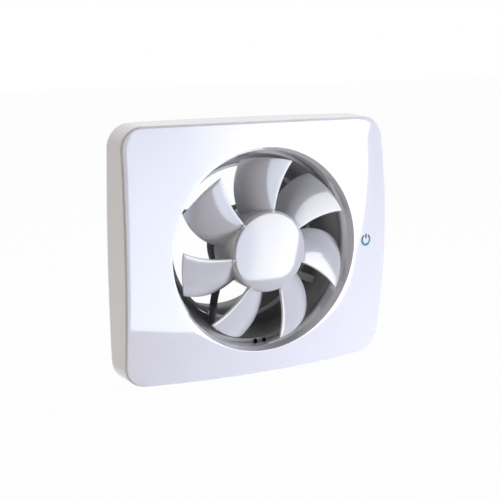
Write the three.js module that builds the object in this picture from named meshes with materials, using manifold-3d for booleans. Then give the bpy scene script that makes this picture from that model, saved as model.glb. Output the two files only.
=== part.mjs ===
// Wall-mounted axial extract fan with a pillow-shaped front cover and an open impeller.
// It fits a 100 mm duct. Millimetres: X to the right, Z up, Y into the wall.
// The origin is on the duct axis, in the plane of the wall.

import * as THREE from 'three';
import { mergeVertices } from 'three/addons/utils/BufferGeometryUtils.js';
import Module from 'manifold-3d';

const wasm = await Module();
wasm.setup();

// Clearances
const seatGap = 0.3;             // between pieces that rest on or fit into each other
const airGap = 0.7;              // between turning and fixed faces
const screwClearance = 0.3;      // between a screw and its hole, on the radius

// Duct with its guide vanes and motor pod
const shroudRadius = 58.2;       // bore round the impeller
const shroudFront = 17.8;        // from the wall forward to the front edge of the shroud
const shroudWall = 1.6;
const shroudCollar = 2.0;        // thickness of the collar at the shroud's front edge
const bellStart = 12.0;          // from the wall forward to where the bore starts to narrow
const bellEnd = 2.2;             // from the wall back to where it is narrowest
const socketDepth = 6.0;         // how far the spigot's thick end goes into the bell's collar
const ledgeWidth = 2.1;          // thickness of the spigot's end, seen as a ledge at the throat
const throatRadius = 48.5;
const throatRound = 0.9;
const spigotWall = 1.2;
const spigotLength = 38.0;       // from the wall back
const spigotTaper = 0.4;         // lead-in on the spigot's end
const taperLength = 1.6;
const lugReach = 8.7;            // the screw lugs, from the bore out to the screw
const lugRadius = 4.2;
const lugAngle = 15;             // degrees above and below the middle, on both sides
const lugThickness = 1.9;
const vaneCount = 4;
const vaneTipAngle = -122;       // degrees, of the first vane at the shroud
const vaneSweep = -14;           // degrees, from the shroud to the pod
const vaneThickness = 2.0;
const vaneBevel = 0.8;           // on the front edges of a vane
const podRadius = 24.9;
const podWall = 1.8;
const podRear = 1.0;             // from the wall back to the rear of the pod's side
const podPlate = 1.8;
const podPostRadius = 2.6;
const podPostPlace = 20.0;
const postFloor = 0.6;           // left under the screw hole of a post
const capWall = 1.6;             // of the low dome that closes the pod
const capRise = 4.2;
const capLip = 1.2;              // ring under the cap that locates it in the pod

// Front cover
const coverWidth = 181.7;        // across the face at half height
const coverHeight = 157.0;       // up the face at half width
const coverEdgeDepth = 17.7;     // from the wall to the edge of the face, at the corners
const riseAcross = 8.9;          // how far the face swells forward over its width
const riseUp = 8.3;              // how far it swells forward over its height
const sideBow = 1.4;             // outward bow of the left and right edges
const topBow = 0.9;              // outward bow of the top and bottom edges
const cornerRadius = 13.8;
const sideDraft = 0.8;           // how much wider each side is at the wall than at the face
const faceEdgeRound = 1.5;
const coverWall = 2.2;
const mouthRound = 0.8;
const lipStep = 2.5;             // from the shroud's bore out to the lip's rear edge
const lipDraft = 0.5;            // how much the lip widens up to its waist
const lipFlare = 1.8;            // how much its funnel widens from the waist to the face
const lipWaistDepth = 4.6;       // from the face to the end of the funnel
const lipWall = 1.7;
const notchSpacing = 6.2;        // two notches in the lip's rear edge, at the bottom
const notchPlace = 2.6;          // from the middle to the right
const notchWidth = 2.2;
const notchLength = 2.4;
const clipLength = 16;           // ribs inside the skirt that grip the wall plate's rim
const clipOffset = 48;
const clipDepth = 7;

// Impeller
const bladeCount = 7;
const tipGap = 1.5;              // from the blade tips to the shroud
const podStep = 0.4;             // how much wider the hub is than the pod behind it
const hubFront = 31.2;           // from the wall forward to the front of the hub's side
const hubRear = 8.3;             // from the wall forward to the rear edge of the hub
const hubWall = 1.8;
const noseRound = 2.8;
const noseRise = 3.4;            // crown of the nose over its rounded edge
const noseWall = 0.6;            // from the front of the hub's side back to its ceiling
const bossOuter = 4.2;           // the boss round the shaft, on the hub's ceiling
const shaftEntry = 2.0;          // how far the shaft goes into the nose past the hub's side
const bladeAngle = 72.7;         // degrees, of the first blade's leading edge at the tip
const leadingSweep = 13.4;       // degrees, first term of the leading edge from tip to root
const leadingCurl = -4.9;        // degrees, second term
const tipChord = 30.1;           // degrees that the blade takes up at its tip
const chordGrowth = 15.9;        // degrees, first term of its growth towards the root
const chordCurl = -5.4;          // degrees, second term
const leadingDepth = 31.1;       // from the wall forward to the leading edge at the tip
const leadingRise = 1.1;         // how much further forward it lies at the root
const bladeDepth = 12.1;         // front to back
const bladeCamber = 2.45;        // how far mid chord bulges forward of a straight blade
const camberShift = 3.2;         // moves the bulge towards the leading edge
const bladeRootThickness = 2.4;
const bladeTipThickness = 1.6;
const edgeShare = 0.45;          // thickness of the leading edge over that of the blade
const tailTaper = 0.5;           // how much of its thickness the blade loses to its rear edge

// Motor inside the hub
const rotorCupWall = 1.0;
const rotorCupDepth = 17.5;
const rotorCeilingGap = 4.2;     // from the hub's ceiling to the rotor cup
const magnetThickness = 2.0;
const magnetLength = 12.0;
const magnetAirGap = 0.5;
const ceilingThickness = 1.6;    // from the rotor cup's ceiling to the magnets
const statorLength = 10.0;
const poleCount = 6;
const poleWidth = 5.0;
const poleShoe = 1.6;
const poleShoeAngle = 44;        // degrees that a pole's shoe takes up
const statorCoreRadius = 9.5;
const windingBuild = 1.7;        // thickness of copper on a pole
const windingGap = 0.8;          // from the core's round middle to the copper
const tubeRadius = 6.4;
const tubeRecess = 0.8;          // from the hub's boss to the bearing tube
const bearingRecess = 0.6;       // from the tube's ends to its bearings
const bearingRadius = 5.0;
const bearingLength = 4.0;
const shaftRadius = 1.5;
const shaftStub = 0.9;           // shaft behind its clip
const clipRadius = 3.0;
const clipThickness = 0.6;
const clipGroove = 0.5;
const clipMouth = 1.2;
const springRadius = 3.4;        // inside of the bearing spring
const springLength = 1.4;
const tubeFlangeRadius = 12.0;
const tubeFlange = 1.4;
const boardThickness = 1.6;

// Wall plate and electronics
const plateThickness = 2.4;
const plateRimHeight = 7.0;
const plateRimWall = 1.6;
const plateClearance = 0.5;      // from the cover's skirt to the edge of the plate
const rimStep = 2.2;             // from the plate's edge to its rim
const ductSeat = 0.8;            // how far the shroud's wall laps over the plate's round hole
const bossHeight = 6.0;
const bossRadius = 4.0;
const slotInset = 13.0;          // wall-screw slots, from the plate's edges
const slotWidth = 4.6;
const slotLength = 9.0;
const postRadius = 2.6;
const postRoot = 0.5;            // how far posts run into the plate
const smallScrew = 1.1;          // radius of the small screws' shanks
const cableEntryInset = [36.85, 14.5];   // from the cover's right and top edges
const grommetGroove = 5.6;
const grommetFlange = 1.8;
const grommetHeight = 2.4;
const grommetEdge = 0.8;
const grommetBore = 3.4;
const terminalInset = [18.35, 31.5];
const terminalPitch = 6.4;
const terminalWays = 3;
const terminalWall = 0.8;
const terminalHeight = 9.0;
const terminalDepth = 10.0;
const terminalWell = 4.0;        // depth of the well over each screw
const wireMouth = 3.4;
const clampInset = [22.35, 22.0];
const clampReach = 4.8;          // from its middle to each screw
const clampWidth = 5.0;
const clampHeight = 6.2;
const clampArch = 4.4;

// Electronics: a mains board low on the right and a touch board behind the symbol
const symbolInset = 10.7;        // from the opening's edge to the touch symbol
const controlHeight = 7.5;       // from the plate to the control board
const controlWidth = 37.0;
const controlInset = [7.85, 20.5];       // from the cover's right and bottom edges
const controlClear = 1.5;        // from the duct's lugs
const boardClear = 3.0;          // from the lip to the control board's round cut
const postEdge = 4.5;            // from a board's edge to its screws
const controlPostAngle = -23.6;  // degrees, of the post beside the round cut
const moduleWidth = 12.0;
const moduleHeight = 16.0;
const moduleDepth = 10.5;
const moduleInset = [13.0, 18.0];        // from the board's right and upper edges
const capacitorRadius = 3.9;
const capacitorLength = 9.0;
const capacitorEdge = 0.6;
const capacitorInset = [10.0, 6.0];      // from the board's left and lower edges
const sensorWidth = 5.0;
const sensorDepth = 3.0;
const sensorWindow = 1.4;
const touchBoardBack = 21.0;     // from the wall forward to the touch board
const touchClear = 2.0;          // from the lip to the touch board
const touchInset = 6.0;          // from the cover's right edge
const touchHeight = 40.0;
const touchPostSpread = 13.5;    // of its posts, above and below the symbol
const guideRadius = 4.4;         // the light guide behind the symbol
const guideFoot = 2.6;
const guideEdge = 0.8;

// Screws: radius and height of the head, length of the shank
const terminalShank = 1.2;
const ductScrew = [2.6, 1.8, 7.5];
const capScrew = [2.2, 1.5, 6.5];
const boardScrew = [2.3, 1.5, 6.5];
const touchScrew = [2.0, 1.0, 6.5];
const clampScrew = [2.2, 1.5, 8.4];
const terminalScrew = [1.8, 1.4, terminalShank];

// Facets of round shapes
const ductSteps = 48;
const hubSteps = 36;
const podSteps = 24;
const motorSteps = 20;
const pinSteps = 10;
const roundMiddle = 1 - Math.SQRT1_2;   // where the middle of a quarter round lies

const overcut = 1;               // how far a cutting shape runs past the face it cuts

const up = Math.PI / 2;
const radians = THREE.MathUtils.degToRad;

// Sizes that follow from those above
const lipRearRadius = shroudRadius + lipStep;
const lipWaistRadius = lipRearRadius + lipDraft;
const openingRadius = lipWaistRadius + lipFlare;
const bladeTipRadius = shroudRadius - tipGap;
const hubRadius = podRadius + podStep;
const cableEntry = fromCorner(cableEntryInset, 1);
const terminalPlace = fromCorner(terminalInset, 1);
const clampPlace = fromCorner(clampInset, 1);

// A place measured in from the cover's right edge and its top or bottom edge
function fromCorner([x, z], side) {
  return [coverWidth / 2 - x, side * (coverHeight / 2 - z)];
}

// Finishes
function finish(color, roughness, metalness = 0) {
  return new THREE.MeshStandardMaterial({ color, roughness, metalness });
}

const glossWhite = finish(0xeef0f6, 0.12);
const whitePlastic = finish(0xe9ebf0, 0.2);
const greyPlastic = finish(0x77757a, 0.35);
const platePlastic = finish(0xd9dade, 0.45);
const steel = finish(0xb4b7bb, 0.3, 1);
const darkSteel = finish(0x5d6066, 0.4, 1);
const ferrite = finish(0x2b2c30, 0.7);
const copper = finish(0xb06a3a, 0.35, 1);
const boardGreen = finish(0x1d6b45, 0.5);
const blackPlastic = finish(0x1d1e21, 0.5);
const clearPlastic = finish(0xdfeaf0, 0.1);
const zincScrew = finish(0xc3c5c8, 0.28, 1);
const rubber = finish(0x3a3b3e, 0.85);

const fan = new THREE.Group();

// Meshes and solids

function clean(geometry) {
  const bare = geometry.clone();
  for (const name of Object.keys(bare.attributes)) {
    if (name !== 'position') bare.deleteAttribute(name);
  }
  const merged = mergeVertices(bare, 1e-4);
  const faces = [];
  const index = merged.getIndex().array;
  for (let i = 0; i < index.length; i += 3) {
    const [a, b, c] = [index[i], index[i + 1], index[i + 2]];
    if (a !== b && b !== c && c !== a) faces.push(a, b, c);
  }
  merged.setIndex(faces);
  return merged;
}

function signedVolume(geometry) {
  const place = geometry.getAttribute('position');
  const index = geometry.getIndex().array;
  const [a, b, c] = [new THREE.Vector3(), new THREE.Vector3(), new THREE.Vector3()];
  let volume = 0;
  for (let i = 0; i < index.length; i += 3) {
    a.fromBufferAttribute(place, index[i]);
    b.fromBufferAttribute(place, index[i + 1]);
    c.fromBufferAttribute(place, index[i + 2]);
    volume += a.dot(b.cross(c)) / 6;
  }
  return volume;
}

function facingOut(geometry) {
  const whole = clean(geometry);
  if (signedVolume(whole) < 0) {
    const index = Array.from(whole.getIndex().array);
    for (let i = 0; i < index.length; i += 3) {
      [index[i + 1], index[i + 2]] = [index[i + 2], index[i + 1]];
    }
    whole.setIndex(index);
  }
  return whole;
}

function solid(geometry) {
  const whole = facingOut(geometry);
  return new wasm.Manifold(new wasm.Mesh({
    numProp: 3,
    vertProperties: new Float32Array(whole.getAttribute('position').array),
    triVerts: new Uint32Array(whole.getIndex().array),
  }));
}

function geometryOf(manifold) {
  const mesh = manifold.getMesh();
  const geometry = new THREE.BufferGeometry();
  geometry.setAttribute('position', new THREE.Float32BufferAttribute(mesh.vertProperties, 3));
  geometry.setIndex(Array.from(mesh.triVerts));
  return geometry;
}

function add(name, shape, material, group = fan) {
  const geometry = shape.isBufferGeometry ? facingOut(shape) : geometryOf(shape);
  geometry.computeVertexNormals();
  const mesh = new THREE.Mesh(geometry, material);
  mesh.name = name;
  group.add(mesh);
  return mesh;
}

// Shapes of the basic kinds, in the fan's own directions

// A solid of revolution about the duct axis from [radius, y] points
function revolve(points, segments) {
  return new THREE.LatheGeometry(points.map(([r, y]) => new THREE.Vector2(r, y)), segments);
}

// The same with the profile closed on itself, for rings
function revolveRing(points, segments) {
  return revolve([...points, points[0]], segments);
}

function disc(radius, front, rear, segments = pinSteps) {
  return revolve([[0, front], [radius, front], [radius, rear], [0, rear]], segments);
}

function ring(inner, outer, front, rear, segments = motorSteps) {
  return revolveRing([[inner, front], [outer, front], [outer, rear], [inner, rear]], segments);
}

// A flat shape drawn in X and Z, as thick as from front to rear
function slab(shape, front, rear) {
  const geometry = new THREE.ExtrudeGeometry(shape, {
    depth: rear - front, bevelEnabled: false, curveSegments: 6,
  });
  return geometry.rotateX(up).translate(0, rear, 0);
}

function block(width, height, front, rear, x, z) {
  const geometry = new THREE.BoxGeometry(width, rear - front, height);
  return geometry.translate(x, (front + rear) / 2, z);
}

function shapeOf(points) {
  return new THREE.Shape(points.map(([x, z]) => new THREE.Vector2(x, z)));
}

// A closed skin through rings of points; the last ring joins the first one
function skin(rings) {
  const count = rings[0].length;
  const faces = [];
  rings.forEach((_, k) => {
    const next = (k + 1) % rings.length;
    for (let i = 0; i < count; i++) {
      const j = (i + 1) % count;
      const [a, b] = [k * count + i, k * count + j];
      const [c, d] = [next * count + i, next * count + j];
      faces.push(a, b, d, a, d, c);
    }
  });
  return skinGeometry(rings, faces);
}

// A closed tube through sections that go down one side and back up the other
function tube(sections) {
  const count = sections[0].length;
  const faces = [];
  for (let k = 0; k + 1 < sections.length; k++) {
    for (let i = 0; i < count; i++) {
      const j = (i + 1) % count;
      const [a, b] = [k * count + i, k * count + j];
      const [c, d] = [a + count, b + count];
      faces.push(a, b, d, a, d, c);
    }
  }
  const last = (sections.length - 1) * count;
  for (let i = 0; i + 1 < count / 2; i++) {
    const [a, b, c, d] = [i, i + 1, count - 2 - i, count - 1 - i];
    faces.push(a, c, b, a, d, c);
    faces.push(last + a, last + b, last + c, last + a, last + c, last + d);
  }
  return skinGeometry(sections, faces);
}

function skinGeometry(rings, faces) {
  const geometry = new THREE.BufferGeometry();
  const places = rings.flat().flatMap((p) => [p.x, p.y, p.z]);
  geometry.setAttribute('position', new THREE.Float32BufferAttribute(places, 3));
  geometry.setIndex(faces);
  return geometry;
}

// Outline of the cover: four bowed edges joined by round corners

const sideArc = (coverHeight ** 2 / 4 + sideBow ** 2) / (2 * sideBow);
const topArc = (coverWidth ** 2 / 4 + topBow ** 2) / (2 * topBow);
const sideCentre = new THREE.Vector2(coverWidth / 2 - sideArc, 0);
const topCentre = new THREE.Vector2(0, coverHeight / 2 - topArc);
const cornerCentre = cornerBetween(sideCentre, sideArc - cornerRadius, topCentre, topArc - cornerRadius);

// The meeting point, right and up, of two circles
function cornerBetween(a, radiusA, b, radiusB) {
  const between = b.clone().sub(a);
  const distance = between.length();
  const along = (distance ** 2 + radiusA ** 2 - radiusB ** 2) / (2 * distance);
  const aside = Math.sqrt(radiusA ** 2 - along ** 2);
  const unit = between.divideScalar(distance);
  const foot = a.clone().addScaledVector(unit, along);
  const normal = new THREE.Vector2(unit.y, -unit.x);
  if (normal.x < 0) normal.negate();
  return foot.addScaledVector(normal, aside);
}

function arc(centre, radius, from, to, steps) {
  const points = [];
  for (let i = 0; i < steps; i++) {
    const angle = from + (to - from) * i / steps;
    points.push([centre.x + radius * Math.cos(angle), centre.y + radius * Math.sin(angle)]);
  }
  return points;
}

// Points anticlockwise from the middle of the right edge, drawn in by the inset
function outline(inset = 0, steps = 5) {
  const sideEnd = cornerCentre.clone().sub(sideCentre).angle();
  const topStart = cornerCentre.clone().sub(topCentre).angle();
  const quarter = [
    ...arc(sideCentre, sideArc - inset, 0, sideEnd, steps),
    ...arc(cornerCentre, cornerRadius - inset, sideEnd, topStart, steps),
    ...arc(topCentre, topArc - inset, topStart, up, steps + 1),
    [0, coverHeight / 2 - inset],
  ];
  const flip = (sx, sz) => ([x, z]) => [sx * x, sz * z];
  const inner = quarter.slice(0, -1);
  return [
    ...inner,
    ...quarter.slice(1).reverse().map(flip(-1, 1)),
    ...inner.map(flip(-1, -1)),
    ...quarter.slice(1).reverse().map(flip(1, -1)),
  ];
}

// Depth of the pillow-shaped face; further forward is more negative
function faceY(x, z) {
  const across = 1 - (x / (coverWidth / 2)) ** 2;
  const upward = 1 - (z / (coverHeight / 2)) ** 2;
  return -(coverEdgeDepth + riseAcross * across + riseUp * upward);
}

// Front cover

// One ring of the cover's skin, from outline points and a depth or a depth function
function level(points, depth) {
  const y = (x, z) => (typeof depth === 'function' ? depth(x, z) : depth);
  return points.map(([x, z]) => new THREE.Vector3(x, y(x, z), z));
}

// The opening's ring of a radius, with its points in line with the outline's
function mouth(radius) {
  return outline().map(([x, z]) => {
    const angle = Math.atan2(z, x);
    return [radius * Math.cos(angle), radius * Math.sin(angle)];
  });
}

function between(outer, inner, share) {
  return outer.map(([x, z], i) => [
    x + (inner[i][0] - x) * share,
    z + (inner[i][1] - z) * share,
  ]);
}

function coverShell() {
  const shoulder = (angle) => {
    const inset = faceEdgeRound * (1 - Math.cos(angle));
    const drop = faceEdgeRound * (1 - Math.sin(angle));
    return level(outline(inset), (x, z) => faceY(x, z) + drop);
  };
  const edge = outline(faceEdgeRound);
  const rim = mouth(openingRadius + mouthRound);
  const innerEdge = outline(coverWall + faceEdgeRound);
  const innerRim = mouth(openingRadius + lipWall);
  const under = (x, z) => faceY(x, z) + coverWall;
  const mouthMiddle = (x, z) => faceY(x, z) + mouthRound * roundMiddle;
  const funnelEnd = (x, z) => faceY(x, z) + lipWaistDepth;
  return skin([
    level(outline(-sideDraft), -seatGap),
    shoulder(0),
    shoulder(radians(45)),
    level(edge, faceY),
    level(between(edge, rim, 0.25), faceY),
    level(between(edge, rim, 0.5), faceY),
    level(between(edge, rim, 0.75), faceY),
    level(rim, faceY),
    level(mouth(openingRadius + mouthRound * roundMiddle), mouthMiddle),
    level(mouth(openingRadius), (x, z) => faceY(x, z) + mouthRound),
    level(mouth(lipWaistRadius), funnelEnd),
    level(mouth(lipRearRadius), -lipRear),
    level(mouth(lipRearRadius + lipWall), -lipRear),
    level(mouth(lipWaistRadius + lipWall), funnelEnd),
    level(innerRim, under),
    level(between(innerEdge, innerRim, 0.5), under),
    level(innerEdge, under),
    level(outline(coverWall), (x, z) => under(x, z) + faceEdgeRound),
    level(outline(coverWall - sideDraft), -seatGap),
  ]);
}

const lipRear = shroudFront + seatGap;

// Two notches in the lip's rear edge, at the bottom
function lipNotches() {
  const [front, rear] = [-(lipRear + notchLength), -lipRear + overcut];
  const middle = -(lipRearRadius + lipWall / 2);
  const notch = (side) => {
    const x = notchPlace + side * notchSpacing / 2;
    return solid(block(notchWidth, 3 * lipWall, front, rear, x, middle));
  };
  return notch(-1).add(notch(1));
}

// Ribs inside the skirt, above and below, that hold the cover on the plate's rim
function coverClips() {
  const inner = coverHeight / 2 - rimInset + seatGap;
  const outer = coverHeight / 2 - (coverWall - sideDraft) + coverWall / 2;
  const [front, rear] = [-(plateThickness + clipDepth), -(plateThickness + seatGap)];
  const ribs = [-1, 1].flatMap((across) => [-1, 1].map((upward) => {
    const x = across * clipOffset;
    const bow = topArc - Math.sqrt(topArc ** 2 - x ** 2);
    const z = upward * ((inner + outer) / 2 - bow);
    return solid(block(clipLength, outer - inner, front, rear, x, z));
  }));
  return ribs.reduce((all, rib) => all.add(rib));
}

const plateInset = coverWall - sideDraft + plateClearance;
const rimInset = plateInset + rimStep;

function frontCover() {
  return solid(coverShell()).subtract(lipNotches()).add(coverClips());
}

// Duct: shroud and bell in one moulding with the vanes and the pod, and the spigot behind it

const socketRadius = throatRadius + ledgeWidth + seatGap;

// Bore of the bell from the shroud to its collar, moved outward by an offset
function bellCurve(offset, steps) {
  const fall = shroudRadius - socketRadius;
  const length = bellStart + bellEnd;
  const points = [];
  for (let i = 0; i <= steps; i++) {
    const angle = up * i / steps;
    const r = shroudRadius - fall * (1 - Math.cos(angle));
    const y = -bellStart + length * Math.sin(angle);
    const normal = new THREE.Vector2(length * Math.cos(angle), fall * Math.sin(angle)).normalize();
    points.push([r + offset * normal.x, y + offset * normal.y]);
  }
  return points;
}

function ductWalls() {
  const socketEnd = bellEnd + socketDepth;
  return revolveRing([
    [shroudRadius, -shroudFront],
    ...bellCurve(0, 5),
    [socketRadius, socketEnd],
    [socketRadius + shroudWall, socketEnd],
    [socketRadius + shroudWall, bellEnd + shroudWall],
    ...bellCurve(shroudWall, 4).slice(0, -1).reverse(),
    [shroudRadius + shroudWall, -shroudFront + shroudCollar],
    [lipRearRadius + lipWall, -shroudFront + shroudCollar],
    [lipRearRadius + lipWall, -shroudFront],
  ], ductSteps);
}

// Spigot: a thin tube with a thick end that sits in the bell's collar
function spigot() {
  const thick = throatRadius + ledgeWidth;
  const socketEnd = bellEnd + socketDepth;
  return revolveRing([
    [throatRadius + throatRound, bellEnd],
    [throatRadius + throatRound * roundMiddle, bellEnd + throatRound * roundMiddle],
    [throatRadius, bellEnd + throatRound],
    [throatRadius, spigotLength],
    [throatRadius + spigotWall - spigotTaper, spigotLength],
    [throatRadius + spigotWall, spigotLength - taperLength],
    [throatRadius + spigotWall, socketEnd + ledgeWidth],
    [thick, socketEnd],
    [thick, bellEnd],
  ], ductSteps);
}

// Solid space out to the middle of the duct wall, to trim the vanes against
function ductCore() {
  return revolve([
    [0, -shroudFront],
    [shroudRadius + shroudWall / 2, -shroudFront],
    ...bellCurve(shroudWall / 2, 5),
    [0, bellEnd + shroudWall / 2],
  ], ductSteps);
}

const podFront = hubRear - airGap;

function vaneAngle(radius) {
  const share = (shroudRadius - radius) / (shroudRadius - podRadius);
  return vaneTipAngle + vaneSweep * share;
}

// One swept guide vane from the pod's side wall to the duct
function vane(turn) {
  const steps = 4;
  const inner = podRadius - podWall / 2;
  const outer = shroudRadius + shroudWall;
  const [front, rear] = [-(podFront - podPlate / 2), podRear - seatGap];
  const half = vaneThickness / 2;
  const sections = [];
  for (let i = 0; i <= steps; i++) {
    const radius = inner + (outer - inner) * i / steps;
    const angle = radians(vaneAngle(radius) + turn);
    const centre = new THREE.Vector3(radius * Math.cos(angle), 0, radius * Math.sin(angle));
    const aside = new THREE.Vector3(-Math.sin(angle), 0, Math.cos(angle));
    const corner = (side, y) => centre.clone().addScaledVector(aside, side).setY(y);
    sections.push([
      corner(-half, rear), corner(-half, front + vaneBevel), corner(vaneBevel - half, front),
      corner(half - vaneBevel, front), corner(half, front + vaneBevel), corner(half, rear),
    ]);
  }
  return solid(tube(sections)).intersect(solid(ductCore()));
}

// The pod: a cup that opens to the rear, with a hole for the bearing tube and three screw posts
function motorPod() {
  const inside = -podFront + podPlate;
  const walls = solid(revolveRing([
    [tubeRadius + seatGap, -podFront],
    [podRadius, -podFront],
    [podRadius, podRear],
    [podRadius - podWall, podRear],
    [podRadius - podWall, inside],
    [tubeRadius + seatGap, inside],
  ], podSteps));
  const posts = podPostAngles.map((angle) => {
    const place = at(polar(podPostPlace, angle));
    const post = disc(podPostRadius, inside - podPlate / 2, podRear - seatGap).translate(...place);
    const hole = screwHole(inside + postFloor, podRear + overcut).translate(...place);
    return solid(post).subtract(solid(hole));
  });
  return posts.reduce((pod, post) => pod.add(post), walls);
}

// Hole for a small screw, as a cutting shape
function screwHole(front, rear) {
  return disc(smallScrew + screwClearance, front, rear);
}

// A place in X and Z as a move in all three directions
function at([x, z], y = 0) {
  return [x, y, z];
}

function polar(radius, degrees) {
  const angle = radians(degrees);
  return [radius * Math.cos(angle), radius * Math.sin(angle)];
}

const podPostAngles = [30, 150, 270];
const lugAngles = [lugAngle, 180 - lugAngle, 180 + lugAngle, 360 - lugAngle];
const lugPlace = shroudRadius + lugReach;
const lugRear = plateThickness + bossHeight + seatGap;

// A screw lug on the outside of the shroud
function lug(degrees) {
  const [front, rear] = [-(lugRear + lugThickness), -lugRear];
  const arm = block(lugReach, 2 * lugRadius, front, rear, lugPlace - lugReach / 2, 0);
  const end = disc(lugRadius, front, rear, 2 * pinSteps).translate(lugPlace, 0, 0);
  const hole = screwHole(front - overcut, rear + overcut).translate(lugPlace, 0, 0);
  const bore = disc(shroudRadius + shroudWall / 2, front - overcut, rear + overcut, ductSteps);
  const blank = solid(arm).add(solid(end)).subtract(solid(hole)).subtract(solid(bore));
  return blank.rotate([0, -degrees, 0]);
}

function fanDuct() {
  let duct = solid(ductWalls()).add(motorPod());
  for (let i = 0; i < vaneCount; i++) {
    duct = duct.add(vane(360 * i / vaneCount));
  }
  lugAngles.forEach((angle) => {
    duct = duct.add(lug(angle));
  });
  return duct;
}

// Impeller

// Angle and depth of a blade's middle surface at a radius and at a share of its chord
function bladePoint(radius, chord) {
  const inward = (bladeTipRadius - radius) / (bladeTipRadius - hubRadius);
  const lead = bladeAngle + leadingSweep * inward + leadingCurl * inward ** 2;
  const width = tipChord + chordGrowth * inward + chordCurl * inward ** 2;
  const front = -leadingDepth - leadingRise * inward ** 2;
  const bulge = -bladeCamber * 4 * chord * (1 - chord);
  const shift = camberShift * chord * (1 - chord) * (1 - 2 * chord);
  return { angle: radians(lead + width * chord), y: front + bladeDepth * chord + bulge + shift };
}

// The blade's section at a radius: down its front side and back up its rear side
function bladeSection(radius, turn) {
  const steps = 6;
  const nearby = 0.02;
  const share = (radius - hubRadius) / (bladeTipRadius - hubRadius);
  const full = THREE.MathUtils.lerp(bladeRootThickness, bladeTipThickness, share);
  const frontSide = [];
  const rearSide = [];
  for (let i = 0; i <= steps; i++) {
    const chord = i / steps;
    const here = bladePoint(radius, chord);
    const ahead = bladePoint(radius, Math.min(chord + nearby, 1));
    const behind = bladePoint(radius, Math.max(chord - nearby, 0));
    const along = new THREE.Vector2(radius * (ahead.angle - behind.angle), ahead.y - behind.y).normalize();
    const half = full / 2 * (i === 0 ? edgeShare : 1 - tailTaper * chord ** 2);
    const place = (side) => {
      const angle = here.angle + side * half * along.y / radius + turn;
      const y = here.y - side * half * along.x;
      return new THREE.Vector3(radius * Math.cos(angle), y, radius * Math.sin(angle));
    };
    frontSide.push(place(1));
    rearSide.unshift(place(-1));
  }
  return [...frontSide, ...rearSide];
}

function blade(turn) {
  const steps = 5;
  const root = hubRadius - hubWall / 2;
  const sections = [];
  for (let i = 0; i <= steps; i++) {
    sections.push(bladeSection(root + (bladeTipRadius - root) * i / steps, turn));
  }
  return solid(tube(sections));
}

// The hub: a cup with a crowned nose, open to the rear, with a boss for the shaft
const hubCeiling = hubFront - noseWall;

function hubShell() {
  const noseEdge = hubRadius - noseRound;
  const crown = [];
  for (let i = 0; i <= 4; i++) {
    const radius = noseEdge * i / 4;
    crown.push([radius, -(hubFront + noseRound + noseRise * (1 - (radius / noseEdge) ** 2))]);
  }
  const roundOff = [1, 2, 3].map((i) => {
    const angle = up * i / 3;
    return [noseEdge + noseRound * Math.sin(angle), -(hubFront + noseRound * Math.cos(angle))];
  });
  return revolve([
    ...crown,
    ...roundOff,
    [hubRadius, -hubRear],
    [hubRadius - hubWall, -hubRear],
    [hubRadius - hubWall, -hubCeiling + hubWall / 2],
    [hubRadius - hubWall * 1.5, -hubCeiling],
    [bossOuter, -hubCeiling],
    [bossOuter, -bossRear],
    [shaftRadius + seatGap, -bossRear],
    [shaftRadius + seatGap, -shaftFront - seatGap],
    [0, -shaftFront - seatGap],
  ], hubSteps);
}

const rotorFront = hubCeiling - rotorCeilingGap;
const shaftFront = hubFront + shaftEntry;
const bossRear = rotorFront - rotorCupWall - seatGap;

function impeller() {
  let whole = solid(hubShell());
  for (let i = 0; i < bladeCount; i++) {
    whole = whole.add(blade(2 * Math.PI * i / bladeCount));
  }
  return whole;
}

// Motor: the steel cup and magnets turn with the hub, the core stands on the bearing tube

const rotorOuter = hubRadius - hubWall - seatGap;
const magnetOuter = rotorOuter - rotorCupWall - seatGap;
const magnetInner = magnetOuter - magnetThickness;
const poleRadius = magnetInner - magnetAirGap;
const rotorRear = rotorFront - rotorCupDepth;
const magnetFront = rotorFront - rotorCupWall - ceilingThickness;
const statorFront = magnetFront - (magnetLength - statorLength) / 2;

function rotorCup() {
  return revolveRing([
    [bossOuter + seatGap, -rotorFront],
    [rotorOuter, -rotorFront],
    [rotorOuter, -rotorRear],
    [rotorOuter - rotorCupWall, -rotorRear],
    [rotorOuter - rotorCupWall, -rotorFront + rotorCupWall],
    [bossOuter + seatGap, -rotorFront + rotorCupWall],
  ], motorSteps);
}

function statorCore() {
  const [front, rear] = [-statorFront, -(statorFront - statorLength)];
  const [inner, outer] = [statorCoreRadius - poleShoe / 2, poleRadius - poleShoe / 2];
  const neck = solid(block(outer - inner, poleWidth, front, rear, (inner + outer) / 2, 0));
  const pole = neck.add(solid(poleShoeBlock(front, rear)));
  let core = solid(ring(tubeRadius + seatGap, statorCoreRadius, front, rear));
  for (let i = 0; i < poleCount; i++) {
    core = core.add(pole.rotate([0, -360 * i / poleCount, 0]));
  }
  return core;
}

function poleShoeBlock(front, rear) {
  const half = radians(poleShoeAngle / 2);
  const steps = 4;
  const curve = (radius) => Array.from({ length: steps + 1 }, (_, i) => {
    const angle = half * (2 * i / steps - 1);
    return [radius * Math.cos(angle), radius * Math.sin(angle)];
  });
  return slab(shapeOf([...curve(poleRadius), ...curve(poleRadius - poleShoe).reverse()]), front, rear);
}

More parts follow.
